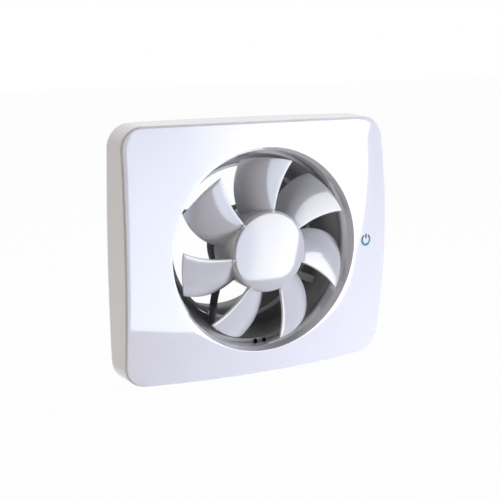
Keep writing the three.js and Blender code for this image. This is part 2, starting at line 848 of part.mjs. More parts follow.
// The copper round one pole, as a block with the pole's neck let through
function winding(index) {
  const [coreFront, coreRear] = [-statorFront - seatGap, -(statorFront - statorLength) + seatGap];
  const inner = statorCoreRadius + windingGap;
  const room = inner * Math.tan(Math.PI / poleCount) - seatGap;
  const half = Math.min(room, poleWidth / 2 + seatGap + windingBuild);
  const outer = Math.sqrt((poleRadius - poleShoe) ** 2 - half ** 2) - 2 * seatGap;
  const [length, middle] = [outer - inner, (inner + outer) / 2];
  const body = block(length, 2 * half, coreFront - windingBuild, coreRear + windingBuild, middle, 0);
  const slot = block(length + overcut, poleWidth + 2 * seatGap, coreFront, coreRear, middle, 0);
  return solid(body).subtract(solid(slot)).rotate([0, -360 * index / poleCount, 0]);
}

const tubeFront = bossRear - tubeRecess;
const tubeSeat = podFront - podPlate - seatGap;
const tubeRear = tubeSeat - tubeFlange;

function bearingTube() {
  return revolveRing([
    [bearingRadius + seatGap, -tubeFront],
    [tubeRadius, -tubeFront],
    [tubeRadius, -tubeSeat],
    [tubeFlangeRadius, -tubeSeat],
    [tubeFlangeRadius, -tubeRear],
    [bearingRadius + seatGap, -tubeRear],
  ], motorSteps);
}

function bearing(front) {
  const [near, far] = [-front, -(front - bearingLength)];
  return revolveRing([
    [shaftRadius + seatGap, near],
    [bearingRadius, near],
    [bearingRadius, far],
    [shaftRadius + seatGap, far],
  ], motorSteps);
}

const frontBearing = tubeFront - bearingRecess;
const rearBearing = tubeRear + bearingRecess + bearingLength;
const clipFront = rearBearing - bearingLength - seatGap;
const shaftRear = clipFront - clipThickness - shaftStub;

function shaft() {
  const groove = shaftRadius - clipGroove;
  return revolve([
    [0, -shaftFront],
    [shaftRadius, -shaftFront],
    [shaftRadius, -clipFront - seatGap],
    [groove, -clipFront - seatGap],
    [groove, -(clipFront - clipThickness) + seatGap],
    [shaftRadius, -(clipFront - clipThickness) + seatGap],
    [shaftRadius, -shaftRear],
    [0, -shaftRear],
  ], motorSteps / 2);
}

// Retaining clip on the shaft's end, open on one side
function retainingClip() {
  const [front, rear] = [-clipFront, -(clipFront - clipThickness)];
  const clip = solid(ring(shaftRadius - clipGroove + seatGap, clipRadius, front, rear));
  return clip.subtract(solid(block(clipMouth, clipRadius, front - overcut, rear + overcut, 0, -clipRadius)));
}

// A light spring between the bearings keeps them loaded
function bearingSpring() {
  const front = frontBearing - bearingLength - seatGap;
  return ring(springRadius, bearingRadius, -front, -(front - springLength));
}

const motorBoardFront = tubeRear - seatGap;

function motorBoard() {
  const outer = podPostPlace - podPostRadius - airGap;
  const [front, rear] = [-motorBoardFront, -motorBoardFront + boardThickness];
  const board = solid(ring(clipRadius + 2 * airGap, outer, front, rear, podSteps));
  const notch = block(2 * clipRadius, clipRadius, front - overcut, rear + overcut, 0, outer);
  return board.subtract(solid(notch));
}

// Pod cap: a low dome that closes the rear of the pod
const capSeat = podRear + seatGap;

// Profile of the cap's dome from its edge to its middle, over the seat by a wall
function domeCurve(edge, wall) {
  const steps = 3;
  return Array.from({ length: steps + 1 }, (_, i) => {
    const angle = up * i / steps;
    return [edge * Math.cos(angle), capSeat + wall + capRise * Math.sin(angle)];
  });
}

function podCap() {
  const inner = podRadius - podWall - seatGap;
  const edge = podPostPlace - podPostRadius - capWall;
  const dome = solid(revolve([
    [0, capSeat],
    [podRadius, capSeat],
    [podRadius, capSeat + capWall],
    ...domeCurve(edge, capWall),
  ], podSteps));
  const hollow = solid(revolve([
    [0, capSeat - overcut],
    [edge - capWall, capSeat - overcut],
    ...domeCurve(edge - capWall, 0),
  ], podSteps));
  const lip = solid(ring(inner - capLip, inner, capSeat - capLip, capSeat + capWall / 2, podSteps));
  const blank = dome.subtract(hollow).add(lip);
  return podPostAngles.reduce((cap, angle) => {
    const place = at(polar(podPostPlace, angle));
    const room = disc(podPostRadius + seatGap, capSeat - 2 * capLip, capSeat).translate(...place);
    const hole = screwHole(capSeat - overcut, capSeat + capWall + overcut).translate(...place);
    return cap.subtract(solid(room)).subtract(solid(hole));
  }, blank);
}

// A pan-head screw with its axis along Y; it points to +Y from its head's underside
function screw(headRadius, headHeight, length) {
  return revolve([
    [0, -headHeight],
    [headRadius * 0.8, -headHeight],
    [headRadius, 0],
    [smallScrew, 0],
    [smallScrew, length],
    [0, length],
  ], pinSteps);
}

// Wall plate

const plateFront = -plateThickness;

// A slot with round ends, along X or Z
function slotShape(x, z, width, length, upright) {
  const shape = new THREE.Shape();
  const reach = (length - width) / 2;
  const [dx, dz] = upright ? [0, reach] : [reach, 0];
  const turn = upright ? up : 0;
  shape.absarc(x + dx, z + dz, width / 2, turn - up, turn + up, false);
  shape.absarc(x - dx, z - dz, width / 2, turn + up, turn + 3 * up, false);
  return shape;
}

function standOff(place, radius, height) {
  const post = disc(radius, plateFront - height, plateFront + postRoot, pinSteps + 2);
  const bore = screwHole(plateFront - height - overcut, plateFront + postRoot - 0.1);
  return solid(post).subtract(solid(bore)).translate(at(place));
}

function wallPlate() {
  const flat = (inset, front, rear) => solid(slab(shapeOf(outline(inset, 3)), front, rear));
  const rimFront = plateFront - plateRimHeight;
  const rim = flat(rimInset, rimFront, plateFront + postRoot)
    .subtract(flat(rimInset + plateRimWall, rimFront - overcut, plateFront + overcut));
  const through = (shape) => solid(slab(shape, plateFront - overcut, overcut));
  const ductHole = disc(shroudRadius + shroudWall - ductSeat, plateFront - overcut, overcut, ductSteps);
  let plate = flat(plateInset, plateFront, 0).add(rim).subtract(solid(ductHole));
  lugAngles.forEach((angle) => {
    plate = plate.add(standOff(polar(lugPlace, angle), bossRadius, bossHeight));
  });
  controlPosts.forEach((place) => {
    plate = plate.add(standOff(place, postRadius, controlHeight));
  });
  touchPosts.forEach((place) => {
    plate = plate.add(standOff(place, postRadius, touchBoardBack - plateThickness));
  });
  wallSlots().forEach((slot) => {
    plate = plate.subtract(through(slot));
  });
  const entry = disc(grommetGroove + seatGap, plateFront - overcut, overcut, 2 * pinSteps);
  plate = plate.subtract(solid(entry.translate(...at(cableEntry))));
  return drilled(plate, clampHoles(), plateFront, 0);
}

// Slots for the wall screws, near the corners; two upright and two level
function wallSlots() {
  const x = coverWidth / 2 - slotInset;
  const z = coverHeight / 2 - slotInset;
  const corners = [[1, 1, true], [-1, 1, false], [-1, -1, true], [1, -1, false]];
  return corners.map(([sx, sz, upright]) => slotShape(sx * x, sz * z, slotWidth, slotLength, upright));
}

// Electronics

const [controlRight, controlLow] = fromCorner(controlInset, -1);
const controlLeft = controlRight - controlWidth;
const controlHigh = -(lugPlace * Math.sin(radians(lugAngle)) + lugRadius + controlClear);
const controlRound = lipRearRadius + lipWall + boardClear;
const controlPosts = [
  polar(controlRound + postEdge, controlPostAngle),
  [controlRight - postEdge, controlLow + postEdge],
];
const symbolPlace = openingRadius + symbolInset;
const touchLeft = openingRadius + lipWall + touchClear;
const touchRight = coverWidth / 2 - touchInset;
const touchPosts = [touchPostSpread, -touchPostSpread].map((z) => [touchRight - postEdge, z]);
const controlBack = plateThickness + controlHeight + seatGap;
const touchBack = touchBoardBack + seatGap;
const controlFace = -(controlBack + boardThickness + seatGap);
const touchFace = -(touchBack + boardThickness + seatGap);

function drilled(board, posts, front, rear) {
  return posts.reduce((rest, place) => {
    const hole = screwHole(front - overcut, rear + overcut).translate(...at(place));
    return rest.subtract(solid(hole));
  }, board);
}

function controlBoard() {
  const [front, rear] = [-(controlBack + boardThickness), -controlBack];
  const sheet = solid(block(controlRight - controlLeft, controlHigh - controlLow, front, rear,
    (controlLeft + controlRight) / 2, (controlLow + controlHigh) / 2));
  const round = solid(disc(controlRound, front - overcut, rear + overcut, ductSteps));
  return drilled(sheet.subtract(round), controlPosts, front, rear);
}

function touchBoard() {
  const [front, rear] = [-(touchBack + boardThickness), -touchBack];
  const middle = (touchLeft + touchRight) / 2;
  const sheet = block(touchRight - touchLeft, touchHeight, front, rear, middle, 0);
  return drilled(solid(sheet), touchPosts, front, rear);
}

// Soft white guide that carries the lamp's light to the symbol
function lightGuide() {
  const reach = faceY(symbolPlace + guideRadius, 0) + coverWall + seatGap;
  return revolve([
    [0, reach],
    [guideRadius, reach],
    [guideRadius, reach + guideEdge],
    [guideFoot, touchFace],
    [0, touchFace],
  ], 2 * pinSteps).translate(symbolPlace, 0, 0);
}

function powerModule() {
  const [x, z] = [controlRight - moduleInset[0], controlHigh - moduleInset[1]];
  return block(moduleWidth, moduleHeight, controlFace - moduleDepth, controlFace, x, z);
}

function filterCapacitor() {
  const front = controlFace - capacitorLength;
  return revolve([
    [0, front],
    [capacitorRadius - capacitorEdge, front],
    [capacitorRadius, front + capacitorEdge],
    [capacitorRadius, controlFace],
    [0, controlFace],
  ], 2 * pinSteps).translate(controlLeft + capacitorInset[0], 0, controlLow + capacitorInset[1]);
}

function humiditySensor() {
  const front = controlFace - sensorDepth;
  const place = [controlRight - postEdge, controlHigh - postEdge];
  const body = solid(block(sensorWidth, sensorWidth, front, controlFace, ...place));
  const window = disc(sensorWindow, front - overcut, controlFace - overcut).translate(...at(place));
  return body.subtract(solid(window));
}

// Three-way screw terminal with a screw well and a wire mouth for each way
function terminalBlock() {
  const z = terminalPlace[1];
  const rear = plateFront - seatGap;
  const front = rear - terminalDepth;
  const width = terminalWays * terminalPitch + 2 * terminalWall;
  const body = solid(block(width, terminalHeight, front, rear, ...terminalPlace));
  return wayPlaces().reduce((rest, [x]) => {
    const well = disc(terminalPitch / 2 - terminalWall, front - overcut, front + terminalWell, 2 * pinSteps);
    const mouthRear = rear - wireMouth;
    const wire = block(wireMouth, wireMouth, mouthRear - wireMouth, mouthRear, x, z + terminalHeight / 2);
    return rest.subtract(solid(well.translate(x, 0, z))).subtract(solid(wire));
  }, body);
}

function wayPlaces() {
  const [x, z] = terminalPlace;
  const first = x - (terminalWays - 1) / 2 * terminalPitch;
  return Array.from({ length: terminalWays }, (_, i) => [first + i * terminalPitch, z]);
}

// Grommet in the plate's cable hole: a groove holds the plate's edge
function cableGrommet() {
  const flange = grommetGroove + grommetFlange;
  const front = plateFront - grommetHeight;
  return revolveRing([
    [grommetBore, front],
    [flange - grommetEdge, front],
    [flange, front + grommetEdge],
    [flange, plateFront - seatGap],
    [grommetGroove, plateFront - seatGap],
    [grommetGroove, -seatGap],
    [grommetBore, -seatGap],
  ], 2 * pinSteps).translate(...at(cableEntry));
}

// Cable clamp: a bridge with a screw on each side
function cableClamp() {
  const rear = plateFront - seatGap;
  const front = rear - clampHeight;
  const bridge = block(2 * (clampReach + postRadius), clampWidth, front, rear, ...clampPlace);
  const arch = block(clampReach, 2 * clampWidth, rear - clampArch, rear + overcut, ...clampPlace);
  return drilled(solid(bridge).subtract(solid(arch)), clampHoles(), front, rear);
}

function clampHoles() {
  return [-clampReach, clampReach].map((reach) => [clampPlace[0] + reach, clampPlace[1]]);
}

// The assembly

add('front_cover', frontCover(), glossWhite);
add('wall_plate', wallPlate(), platePlastic);
add('fan_duct', fanDuct(), greyPlastic);
add('spigot', spigot(), greyPlastic);
add('pod_cap', podCap(), greyPlastic);

add('impeller', impeller(), whitePlastic);
add('rotor_cup', rotorCup(), darkSteel);
add('magnet_ring', ring(magnetInner, magnetOuter, -magnetFront, -(magnetFront - magnetLength)), ferrite);
add('shaft', shaft(), steel);
add('retaining_clip', retainingClip(), darkSteel);

add('bearing_tube', bearingTube(), blackPlastic);
add('front_bearing', bearing(frontBearing), steel);
add('rear_bearing', bearing(rearBearing), steel);
add('bearing_spring', bearingSpring(), darkSteel);
add('stator_core', statorCore(), darkSteel);
for (let i = 0; i < poleCount; i++) {
  add(`winding_${i + 1}`, winding(i), copper);
}
add('motor_board', motorBoard(), boardGreen);

add('control_board', controlBoard(), boardGreen);
add('power_module', powerModule(), blackPlastic);
add('filter_capacitor', filterCapacitor(), darkSteel);
add('humidity_sensor', humiditySensor(), whitePlastic);
add('touch_board', touchBoard(), boardGreen);
add('light_guide', lightGuide(), clearPlastic);
add('terminal_block', terminalBlock(), blackPlastic);
add('cable_grommet', cableGrommet(), rubber);
add('cable_clamp', cableClamp(), whitePlastic);

// Screws: each head rests on its piece, pointing into the wall unless turned
function addScrews(name, places, headY, [headRadius, headHeight, length], turned = false) {
  places.forEach((place, i) => {
    const piece = add(`${name}_${i + 1}`, screw(headRadius, headHeight, length), zincScrew);
    piece.position.set(...at(place, headY));
    if (turned) piece.rotation.x = Math.PI;
  });
}

const lugScrews = lugAngles.map((angle) => polar(lugPlace, angle));
const capScrews = podPostAngles.map((angle) => polar(podPostPlace, angle));
const terminalSeat = plateFront - seatGap - terminalDepth + terminalWell - seatGap - terminalShank;

addScrews('duct_screw', lugScrews, -(lugRear + lugThickness + seatGap), ductScrew);
addScrews('pod_cap_screw', capScrews, capSeat + capWall + seatGap, capScrew, true);
addScrews('control_board_screw', controlPosts, controlFace, boardScrew);
addScrews('touch_board_screw', touchPosts, touchFace, touchScrew);
addScrews('cable_clamp_screw', clampHoles(), plateFront - clampHeight - 2 * seatGap, clampScrew);
addScrews('terminal_screw', wayPlaces(), terminalSeat, terminalScrew);

export default fan;
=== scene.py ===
# Wall-mounted axial extract fan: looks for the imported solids.
# Metres: X to the right, Y into the wall along the duct's axis, Z up.

from math import atan, atan2, cos, pi, radians, sin, sqrt, tan

import bmesh
import bpy
from bpy.props import FloatProperty, FloatVectorProperty, IntProperty, PointerProperty
from bpy.types import Operator, Panel, PropertyGroup
from mathutils import Matrix, Vector


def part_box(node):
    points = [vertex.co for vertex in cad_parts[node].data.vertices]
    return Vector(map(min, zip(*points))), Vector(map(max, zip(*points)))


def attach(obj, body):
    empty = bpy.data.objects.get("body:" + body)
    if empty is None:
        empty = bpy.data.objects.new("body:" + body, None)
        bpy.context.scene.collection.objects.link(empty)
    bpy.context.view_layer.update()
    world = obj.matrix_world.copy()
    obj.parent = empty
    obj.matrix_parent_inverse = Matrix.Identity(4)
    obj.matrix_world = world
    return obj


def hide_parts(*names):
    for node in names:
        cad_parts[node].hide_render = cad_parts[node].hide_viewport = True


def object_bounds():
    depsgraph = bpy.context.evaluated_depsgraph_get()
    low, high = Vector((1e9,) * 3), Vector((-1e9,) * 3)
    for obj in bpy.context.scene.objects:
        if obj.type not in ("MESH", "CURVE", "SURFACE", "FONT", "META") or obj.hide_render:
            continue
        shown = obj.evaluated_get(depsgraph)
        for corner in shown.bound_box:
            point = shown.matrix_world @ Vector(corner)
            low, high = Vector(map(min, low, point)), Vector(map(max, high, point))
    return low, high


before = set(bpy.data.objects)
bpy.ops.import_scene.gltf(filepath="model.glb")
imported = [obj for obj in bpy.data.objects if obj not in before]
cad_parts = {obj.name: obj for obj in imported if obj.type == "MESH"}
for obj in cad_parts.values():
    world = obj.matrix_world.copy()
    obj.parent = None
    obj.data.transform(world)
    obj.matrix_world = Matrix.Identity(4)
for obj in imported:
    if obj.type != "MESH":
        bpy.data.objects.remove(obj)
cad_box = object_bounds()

bl_info = {
    "name": "Wall extract fan",
    "version": (1, 0, 0),
    "blender": (4, 5, 0),
    "location": "3D View > Sidebar > Fan",
    "description": "Models and finishes a wall-mounted axial extract fan",
    "category": "Object",
}

MM = 0.001
QUARTER = pi / 2         # a quarter turn and a whole one, in radians
TURN = 2 * pi


# Settings

def length(name, description, millimetres):
    return FloatProperty(name=name, description=description, default=millimetres * MM,
                         unit="LENGTH", subtype="DISTANCE")


def angle(name, description, degrees):
    return FloatProperty(name=name, description=description, default=radians(degrees),
                         unit="ROTATION", subtype="ANGLE")


def number(name, description, value, unit="NONE"):
    return FloatProperty(name=name, description=description, default=value, unit=unit)


def whole(name, description, value):
    return IntProperty(name=name, description=description, default=value, min=1)


def colour(name, description, value):
    return FloatVectorProperty(name=name, description=description, default=value,
                               subtype="COLOR", size=3, min=0, max=1)


class FanCover(PropertyGroup):
    width: length("Width", "Across the face at half height", 181.7)
    height: length("Height", "Up the face at half width", 157.0)
    edge_depth: length("Edge depth", "From the wall to the face at the corners", 17.7)
    rise_across: length("Rise across", "Swell of the face over its width", 8.9)
    rise_up: length("Rise up", "Swell of the face over its height", 8.3)
    side_bow: length("Side bow", "Outward bow of the left and right edges", 1.4)
    top_bow: length("Top bow", "Outward bow of the top and bottom edges", 0.9)
    corner_radius: length("Corner radius", "Of the outline's corners", 13.8)
    draft: length("Draft", "How much wider each side is at the wall", 0.8)
    edge_round: length("Edge round", "Radius between the face and the sides", 1.5)
    wall: length("Wall", "Thickness of the moulding", 2.2)
    opening: length("Opening", "Radius of the inlet at the face", 63.0)
    mouth_round: length("Mouth round", "Radius between the face and the lip", 0.5)
    waist: length("Waist", "Radius at the end of the lip's funnel", 61.2)
    waist_depth: length("Waist depth", "From the face to the end of the funnel", 4.6)
    lip_rear: length("Lip rear", "Radius of the lip's rear edge", 60.7)
    lip_end: length("Lip end", "From the wall to the lip's rear edge", 18.1)
    lip_wall: length("Lip wall", "Thickness of the lip", 1.7)
    notch_place: length("Notch place", "Middle of the two notches, to the right", 1.8)
    notch_spacing: length("Notch spacing", "Between the two notches", 6.2)
    notch_width: length("Notch width", "Of each notch in the lip's rear edge", 2.5)
    notch_length: length("Notch length", "Of each notch, front to back", 2.8)
    clip_length: length("Clip length", "Of each rib that grips the plate", 16.0)
    clip_offset: length("Clip offset", "From the middle to each rib", 48.0)
    symbol_place: length("Symbol place", "From the middle to the touch symbol", 73.2)
    symbol_radius: length("Symbol radius", "To the middle of the symbol's ring", 3.25)
    symbol_stroke: length("Symbol stroke", "Width of the symbol's lines", 1.2)
    symbol_gap: angle("Symbol gap", "Half of the gap in the symbol's ring", 32)
    colour: colour("Colour", "Of the gloss moulding", (0.86, 0.86, 0.90))
    light: colour("Symbol light", "Of the bright end of the symbol's ring", (0.0, 0.45, 0.62))


class FanImpeller(PropertyGroup):
    blades: whole("Blades", "How many blades", 7)
    tip: length("Tip radius", "To the blade tips", 56.7)
    hub: length("Hub radius", "Of the hub's side", 25.3)
    hub_front: length("Hub front", "From the wall to the front of the hub's side", 31.2)
    hub_rear: length("Hub rear", "From the wall to the hub's rear edge", 8.3)
    hub_wall: length("Hub wall", "Thickness of the hub's side", 1.8)
    ceiling: length("Ceiling", "From the wall to the inside of the nose", 30.6)
    nose_round: length("Nose round", "Radius between the nose and the side", 2.8)
    nose_rise: length("Nose rise", "Crown of the nose", 3.05)
    boss: length("Boss", "Radius of the boss round the shaft", 4.2)
    boss_rear: length("Boss rear", "From the wall to the rear of the boss", 25.1)
    bore: length("Bore", "Radius of the boss's bore", 1.8)
    bore_end: length("Bore end", "From the wall to the end of the bore", 33.5)
    lead: angle("Leading edge", "Angle of the first blade's tip", 72.7)
    sweep: angle("Sweep", "Leading edge's first term, tip to root", 13.4)
    curl: angle("Curl", "Leading edge's second term", -4.9)
    chord: angle("Chord", "Angle that a blade takes up at its tip", 30.1)
    chord_growth: angle("Chord growth", "First term, tip to root", 15.9)
    chord_curl: angle("Chord curl", "Second term", -5.4)
    front: length("Blade front", "From the wall to the leading edge's tip", 31.1)
    front_rise: length("Front rise", "How much further forward the root is", 1.1)
    depth: length("Blade depth", "Front to back", 12.1)
    camber: length("Camber", "Bulge of mid chord", 2.45)
    camber_shift: length("Camber shift", "Moves the bulge forward", 3.2)
    root_thickness: length("Root thickness", "Of a blade", 2.4)
    tip_thickness: length("Tip thickness", "Of a blade", 1.6)
    root_fillet: length("Root fillet", "Where a blade meets the hub", 0.8)
    # Painted shade: the impeller is white like the cover; this darker grey stands in for the shade
    # the hub and blades get inside the opening.
    colour: colour("Colour", "Of the blades and hub", (0.60, 0.60, 0.62))


class FanDuct(PropertyGroup):
    shroud: length("Shroud", "Bore round the impeller", 58.2)
    shroud_front: length("Shroud front", "From the wall to the shroud's front", 17.8)
    wall: length("Wall", "Thickness of the shroud", 1.6)
    collar: length("Collar", "Thickness of the collar at the front", 2.0)
    collar_radius: length("Collar radius", "Outside of the collar", 62.4)
    bell_start: length("Bell start", "From the wall to the narrowing", 12.0)
    bell_end: length("Bell end", "Behind the wall, where it is narrowest", 2.2)
    socket: length("Socket", "Radius of the collar round the spigot", 50.9)
    socket_depth: length("Socket depth", "Of the collar round the spigot", 6.0)
    throat: length("Throat", "Bore of the spigot", 48.5)
    throat_round: length("Throat round", "Round on the spigot's front edge", 0.9)
    ledge: length("Ledge", "Thickness of the spigot's front end", 2.1)
    spigot_wall: length("Spigot wall", "Thickness of the spigot", 1.2)
    spigot_length: length("Spigot length", "Behind the wall", 38.0)
    spigot_taper: length("Spigot taper", "Lead-in on its end", 0.4)
    taper_length: length("Taper length", "Of the lead-in", 1.6)
    lug_place: length("Lug place", "Radius to the screw lugs", 66.9)
    lug_radius: length("Lug radius", "Of a lug's round end", 4.2)
    lug_angle: angle("Lug angle", "Above and below the middle", 15)
    lug_front: length("Lug front", "From the wall to a lug's front", 10.6)
    lug_rear: length("Lug rear", "From the wall to a lug's rear", 8.7)
    hole: length("Hole", "Radius of a screw hole", 1.4)
    vanes: whole("Vanes", "How many guide vanes", 4)
    vane_angle: angle("Vane angle", "Of the first vane at the shroud", -113)
    vane_sweep: angle("Vane sweep", "From the shroud to the pod", -20)
    vane_thickness: length("Vane thickness", "Of a guide vane", 2.0)
    lead_angle: angle("Lead vane angle", "Of the vane that carries the leads, at the shroud", -31.5)
    lead_sweep: angle("Lead vane sweep", "From the shroud to the pod", -7)
    channel_width: length("Channel width", "Of the leads' channel on that vane", 3.0)
    channel_front: length("Channel front", "From the wall to the channel's front", 5.4)
    vane_front: length("Vane front", "From the wall to a vane's front edge", 6.7)
    vane_rear: length("Vane rear", "From the wall back to a vane's rear", 0.7)
    pod: length("Pod radius", "Of the motor pod", 24.9)
    pod_wall: length("Pod wall", "Thickness of the pod's side", 1.8)
    pod_front: length("Pod front", "From the wall to the pod's front", 7.6)
    pod_plate: length("Pod plate", "Thickness of the pod's front", 1.8)
    pod_rear: length("Pod rear", "From the wall back to the pod's rear", 1.0)
    pod_hole: length("Pod hole", "Radius of the hole for the bearing tube", 6.7)
    post: length("Post", "Radius of a screw post in the pod", 2.6)
    post_place: length("Post place", "Radius to the posts", 20.0)
    cap_seat: length("Cap seat", "From the wall back to the pod's cap", 1.3)
    cap_wall: length("Cap wall", "Thickness of the cap", 1.6)
    cap_rise: length("Cap rise", "Height of the cap's dome", 4.2)
    cap_edge: length("Cap edge", "Radius of the dome's foot", 15.8)
    cap_lip: length("Cap lip", "Thickness of the locating ring", 1.2)
    colour: colour("Colour", "Of the duct, spigot and cap", (0.40, 0.395, 0.39))


class FanPlate(PropertyGroup):
    inset: length("Inset", "From the cover's outline to the plate's edge", 1.9)
    rim_inset: length("Rim inset", "From the cover's outline to the rim", 4.1)
    rim_height: length("Rim height", "Forward of the plate", 7.0)
    rim_wall: length("Rim wall", "Thickness of the rim", 1.6)
    thickness: length("Thickness", "Of the plate", 2.4)
    hole: length("Hole", "Radius of the duct's hole", 59.0)
    boss: length("Boss", "Radius of the duct's bosses", 4.0)
    boss_height: length("Boss height", "Forward of the plate", 6.0)
    post: length("Post", "Radius of the boards' posts", 2.6)
    slot_inset: length("Slot inset", "From the cover's edges", 13.0)
    slot_width: length("Slot width", "Of a wall-screw slot", 4.6)
    slot_length: length("Slot length", "Of a wall-screw slot", 9.0)
    entry: length("Entry", "Radius of the cable hole", 5.9)
    control_post: length("Control posts", "Forward of the plate", 7.5)
    touch_post: length("Touch posts", "Forward of the plate", 18.6)
    colour: colour("Colour", "Of the wall plate", (0.62, 0.62, 0.63))


class FanFixings(PropertyGroup):
    shank: length("Shank", "Radius of the small screws", 1.1)
    thread: length("Thread", "Depth of the thread", 0.22)
    pitch: length("Pitch", "From one turn of the thread to the next", 0.8)
    grommet_bore: length("Grommet bore", "Radius of its hole", 3.4)
    grommet_groove: length("Grommet groove", "Radius of its neck in the plate", 5.6)
    grommet_flange: length("Grommet flange", "Radius of its flange", 7.4)
    grommet_height: length("Grommet height", "Forward of the plate", 2.4)


class FanStage(PropertyGroup):
    distance: length("Distance", "From the camera to its target", 675.58)
    yaw: angle("Yaw", "Of the camera's aim, to the right", 28.4522)
    pitch: angle("Pitch", "Of the camera's aim, downward", 11.8493)
    roll: angle("Roll", "Of the camera", 0.1327)
    aside: length("Aside", "Target, to the camera's right of the origin", 4.24)
    raised: length("Raised", "Target, above the origin in the picture", -5.24)
    lens: number("Lens", "Focal length in millimetres", 76.84, "CAMERA")
    panel_distance: length("Panel distance", "From the unit to the panel", 1200)
    panel_gloss: number("Panel gloss", "Strength of the panel in reflections", 4.2)
    key: number("Key", "Power of the lamp on the right, in watts", 74.0, "POWER")
    above: number("Above", "Power of the lamp above, in watts", 2.3, "POWER")
    beside: number("Beside", "Power of the warm lamp on the left, in watts", 1.3, "POWER")
    behind: number("Behind", "Power of the lamp behind, in watts", 15.0, "POWER")
    fill: number("Fill", "Strength of the soft light all round", 0.04)
    room: number("Room", "Brightness of the room's front in reflections", 0.15)
    room_behind: number("Room behind", "Brightness of the room's rear in reflections", 0.9)
    floor_gap: length("Floor gap", "From the lowest point to the floor", 0.05)


SETTINGS = {
    "fan_cover": FanCover,
    "fan_impeller": FanImpeller,
    "fan_duct": FanDuct,
    "fan_plate": FanPlate,
    "fan_fixings": FanFixings,
    "fan_stage": FanStage,
}


# Modelling

ORDER = "order"          # vertex layer with a point's place in its ring or grid
MERGE = 1e-7             # metres; points closer than this become one


def select_only(obj):
    bpy.ops.object.select_all(action="DESELECT")
    obj.select_set(True)
    bpy.context.view_layer.objects.active = obj


def started(name):
    """The primitive just added, named and open in edit mode with numbered points."""
    obj = bpy.context.object
    obj.name = name
    obj.data.name = name
    bpy.ops.object.mode_set(mode="EDIT")
    mesh = bmesh.from_edit_mesh(obj.data)
    order = mesh.verts.layers.int.new(ORDER)
    for index, vert in enumerate(mesh.verts):
        vert[order] = index
    return obj


def put_selected(obj, points):
    """Moves each selected point to the place that its number has in points."""
    mesh = bmesh.from_edit_mesh(obj.data)
    order = mesh.verts.layers.int[ORDER]
    for vert in mesh.verts:
        if vert.select:
            vert.co = points[vert[order]]
    bmesh.update_edit_mesh(obj.data)


def closed_up(obj):
    """Merges what meets, turns the faces outwards and leaves edit mode."""
    bpy.ops.mesh.select_all(action="SELECT")
    bpy.ops.mesh.remove_doubles(threshold=MERGE)
    bpy.ops.mesh.delete_loose(use_verts=True, use_edges=True, use_faces=False)
    bpy.ops.mesh.select_all(action="SELECT")
    bpy.ops.mesh.normals_make_consistent(inside=False)
    bpy.ops.object.mode_set(mode="OBJECT")
    layer = obj.data.attributes.get(ORDER)
    if layer:
        obj.data.attributes.remove(layer)
    return obj


def first_ring(name, ring):
    bpy.ops.object.select_all(action="DESELECT")
    bpy.ops.mesh.primitive_circle_add(vertices=len(ring), radius=MM)
    obj = started(name)
    put_selected(obj, ring)
    return obj


def lofted(name, rings, capped=False):
    """A skin through rings of points: its ends are capped, or its last ring meets the first."""
    obj = first_ring(name, rings[0])
    if capped:
        bpy.ops.mesh.edge_face_add()
    for ring in rings[1:] if capped else [*rings[1:], rings[0]]:
        bpy.ops.mesh.extrude_region()
        put_selected(obj, ring)
    return closed_up(obj)


def spun(name, profile, steps, centre=(0, 0)):
    """A solid of revolution about an axis along Y, from [radius, y] points in a loop."""
    x, z = centre
    obj = first_ring(name, [Vector((x + r, y, z)) for r, y in profile])
    bpy.ops.mesh.spin(steps=steps, angle=TURN, center=(x, 0, z), axis=(0, 1, 0))
    return closed_up(obj)


def slab_of(name, columns, rows, front, rear):
    """A thick sheet: a grid of points put in place by front(i, j), extruded to rear(i, j)."""
    bpy.ops.object.select_all(action="DESELECT")
    bpy.ops.mesh.primitive_grid_add(x_subdivisions=columns - 1, y_subdivisions=rows - 1,
                                    size=MM)
    obj = started(name)
    places = [(i, j) for j in range(rows) for i in range(columns)]
    put_selected(obj, [front(i, j) for i, j in places])
    bpy.ops.mesh.extrude_region()
    put_selected(obj, [rear(i, j) for i, j in places])
    return closed_up(obj)


def box(name, low, high, bevel=0.0):
    """A block between two corners, with its edges rounded."""
    low, high = Vector(low), Vector(high)
    bpy.ops.object.select_all(action="DESELECT")
    bpy.ops.mesh.primitive_cube_add(size=1, location=(low + high) / 2, scale=high - low)
    obj = bpy.context.object
    obj.name = name
    bpy.ops.object.transform_apply(location=True, rotation=True, scale=True)
    if bevel:
        bpy.ops.object.mode_set(mode="EDIT")
        bpy.ops.mesh.select_all(action="SELECT")
        bpy.ops.mesh.bevel(offset=bevel, segments=3)
        bpy.ops.object.mode_set(mode="OBJECT")
    return obj


def copied(obj, name, move):
    twin = obj.copy()
    twin.data = obj.data.copy()
    twin.name = name
    twin.data.name = name
    twin.data.transform(move)
    bpy.context.scene.collection.objects.link(twin)
    return twin


def about_axis(turned):
    """A turn about the duct's axis that raises angles measured from X towards Z."""
    return Matrix.Rotation(-turned, 4, "Y")


def combine(obj, tools, operation):
    """Joins the tools to the object, cuts them out of it or keeps what they share."""
    select_only(obj)
    for tool in tools:
        modifier = obj.modifiers.new("combine", "BOOLEAN")
        modifier.operation = operation
        modifier.solver = "MANIFOLD"
        modifier.object = tool
        bpy.ops.object.modifier_apply(modifier=modifier.name)
        bpy.data.objects.remove(tool)
    return obj


def settled(obj, body, finish, nodes, smooth=38):
    """Shades a finished piece, gives it its finish and lets it ride on its body."""
    if not obj.data.polygons:
        raise RuntimeError(f"{obj.name} has no faces")
    select_only(obj)
    bpy.ops.object.shade_smooth_by_angle(angle=radians(smooth))
    obj.data.materials.clear()
    obj.data.materials.append(finish_of(finish))
    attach(obj, body)
    if nodes:
        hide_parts(*nodes)
    return obj


def polar(radius, turned):
    return radius * cos(turned), radius * sin(turned)


def steps_between(low, high, count):
    return [low + (high - low) * i / count for i in range(count + 1)]


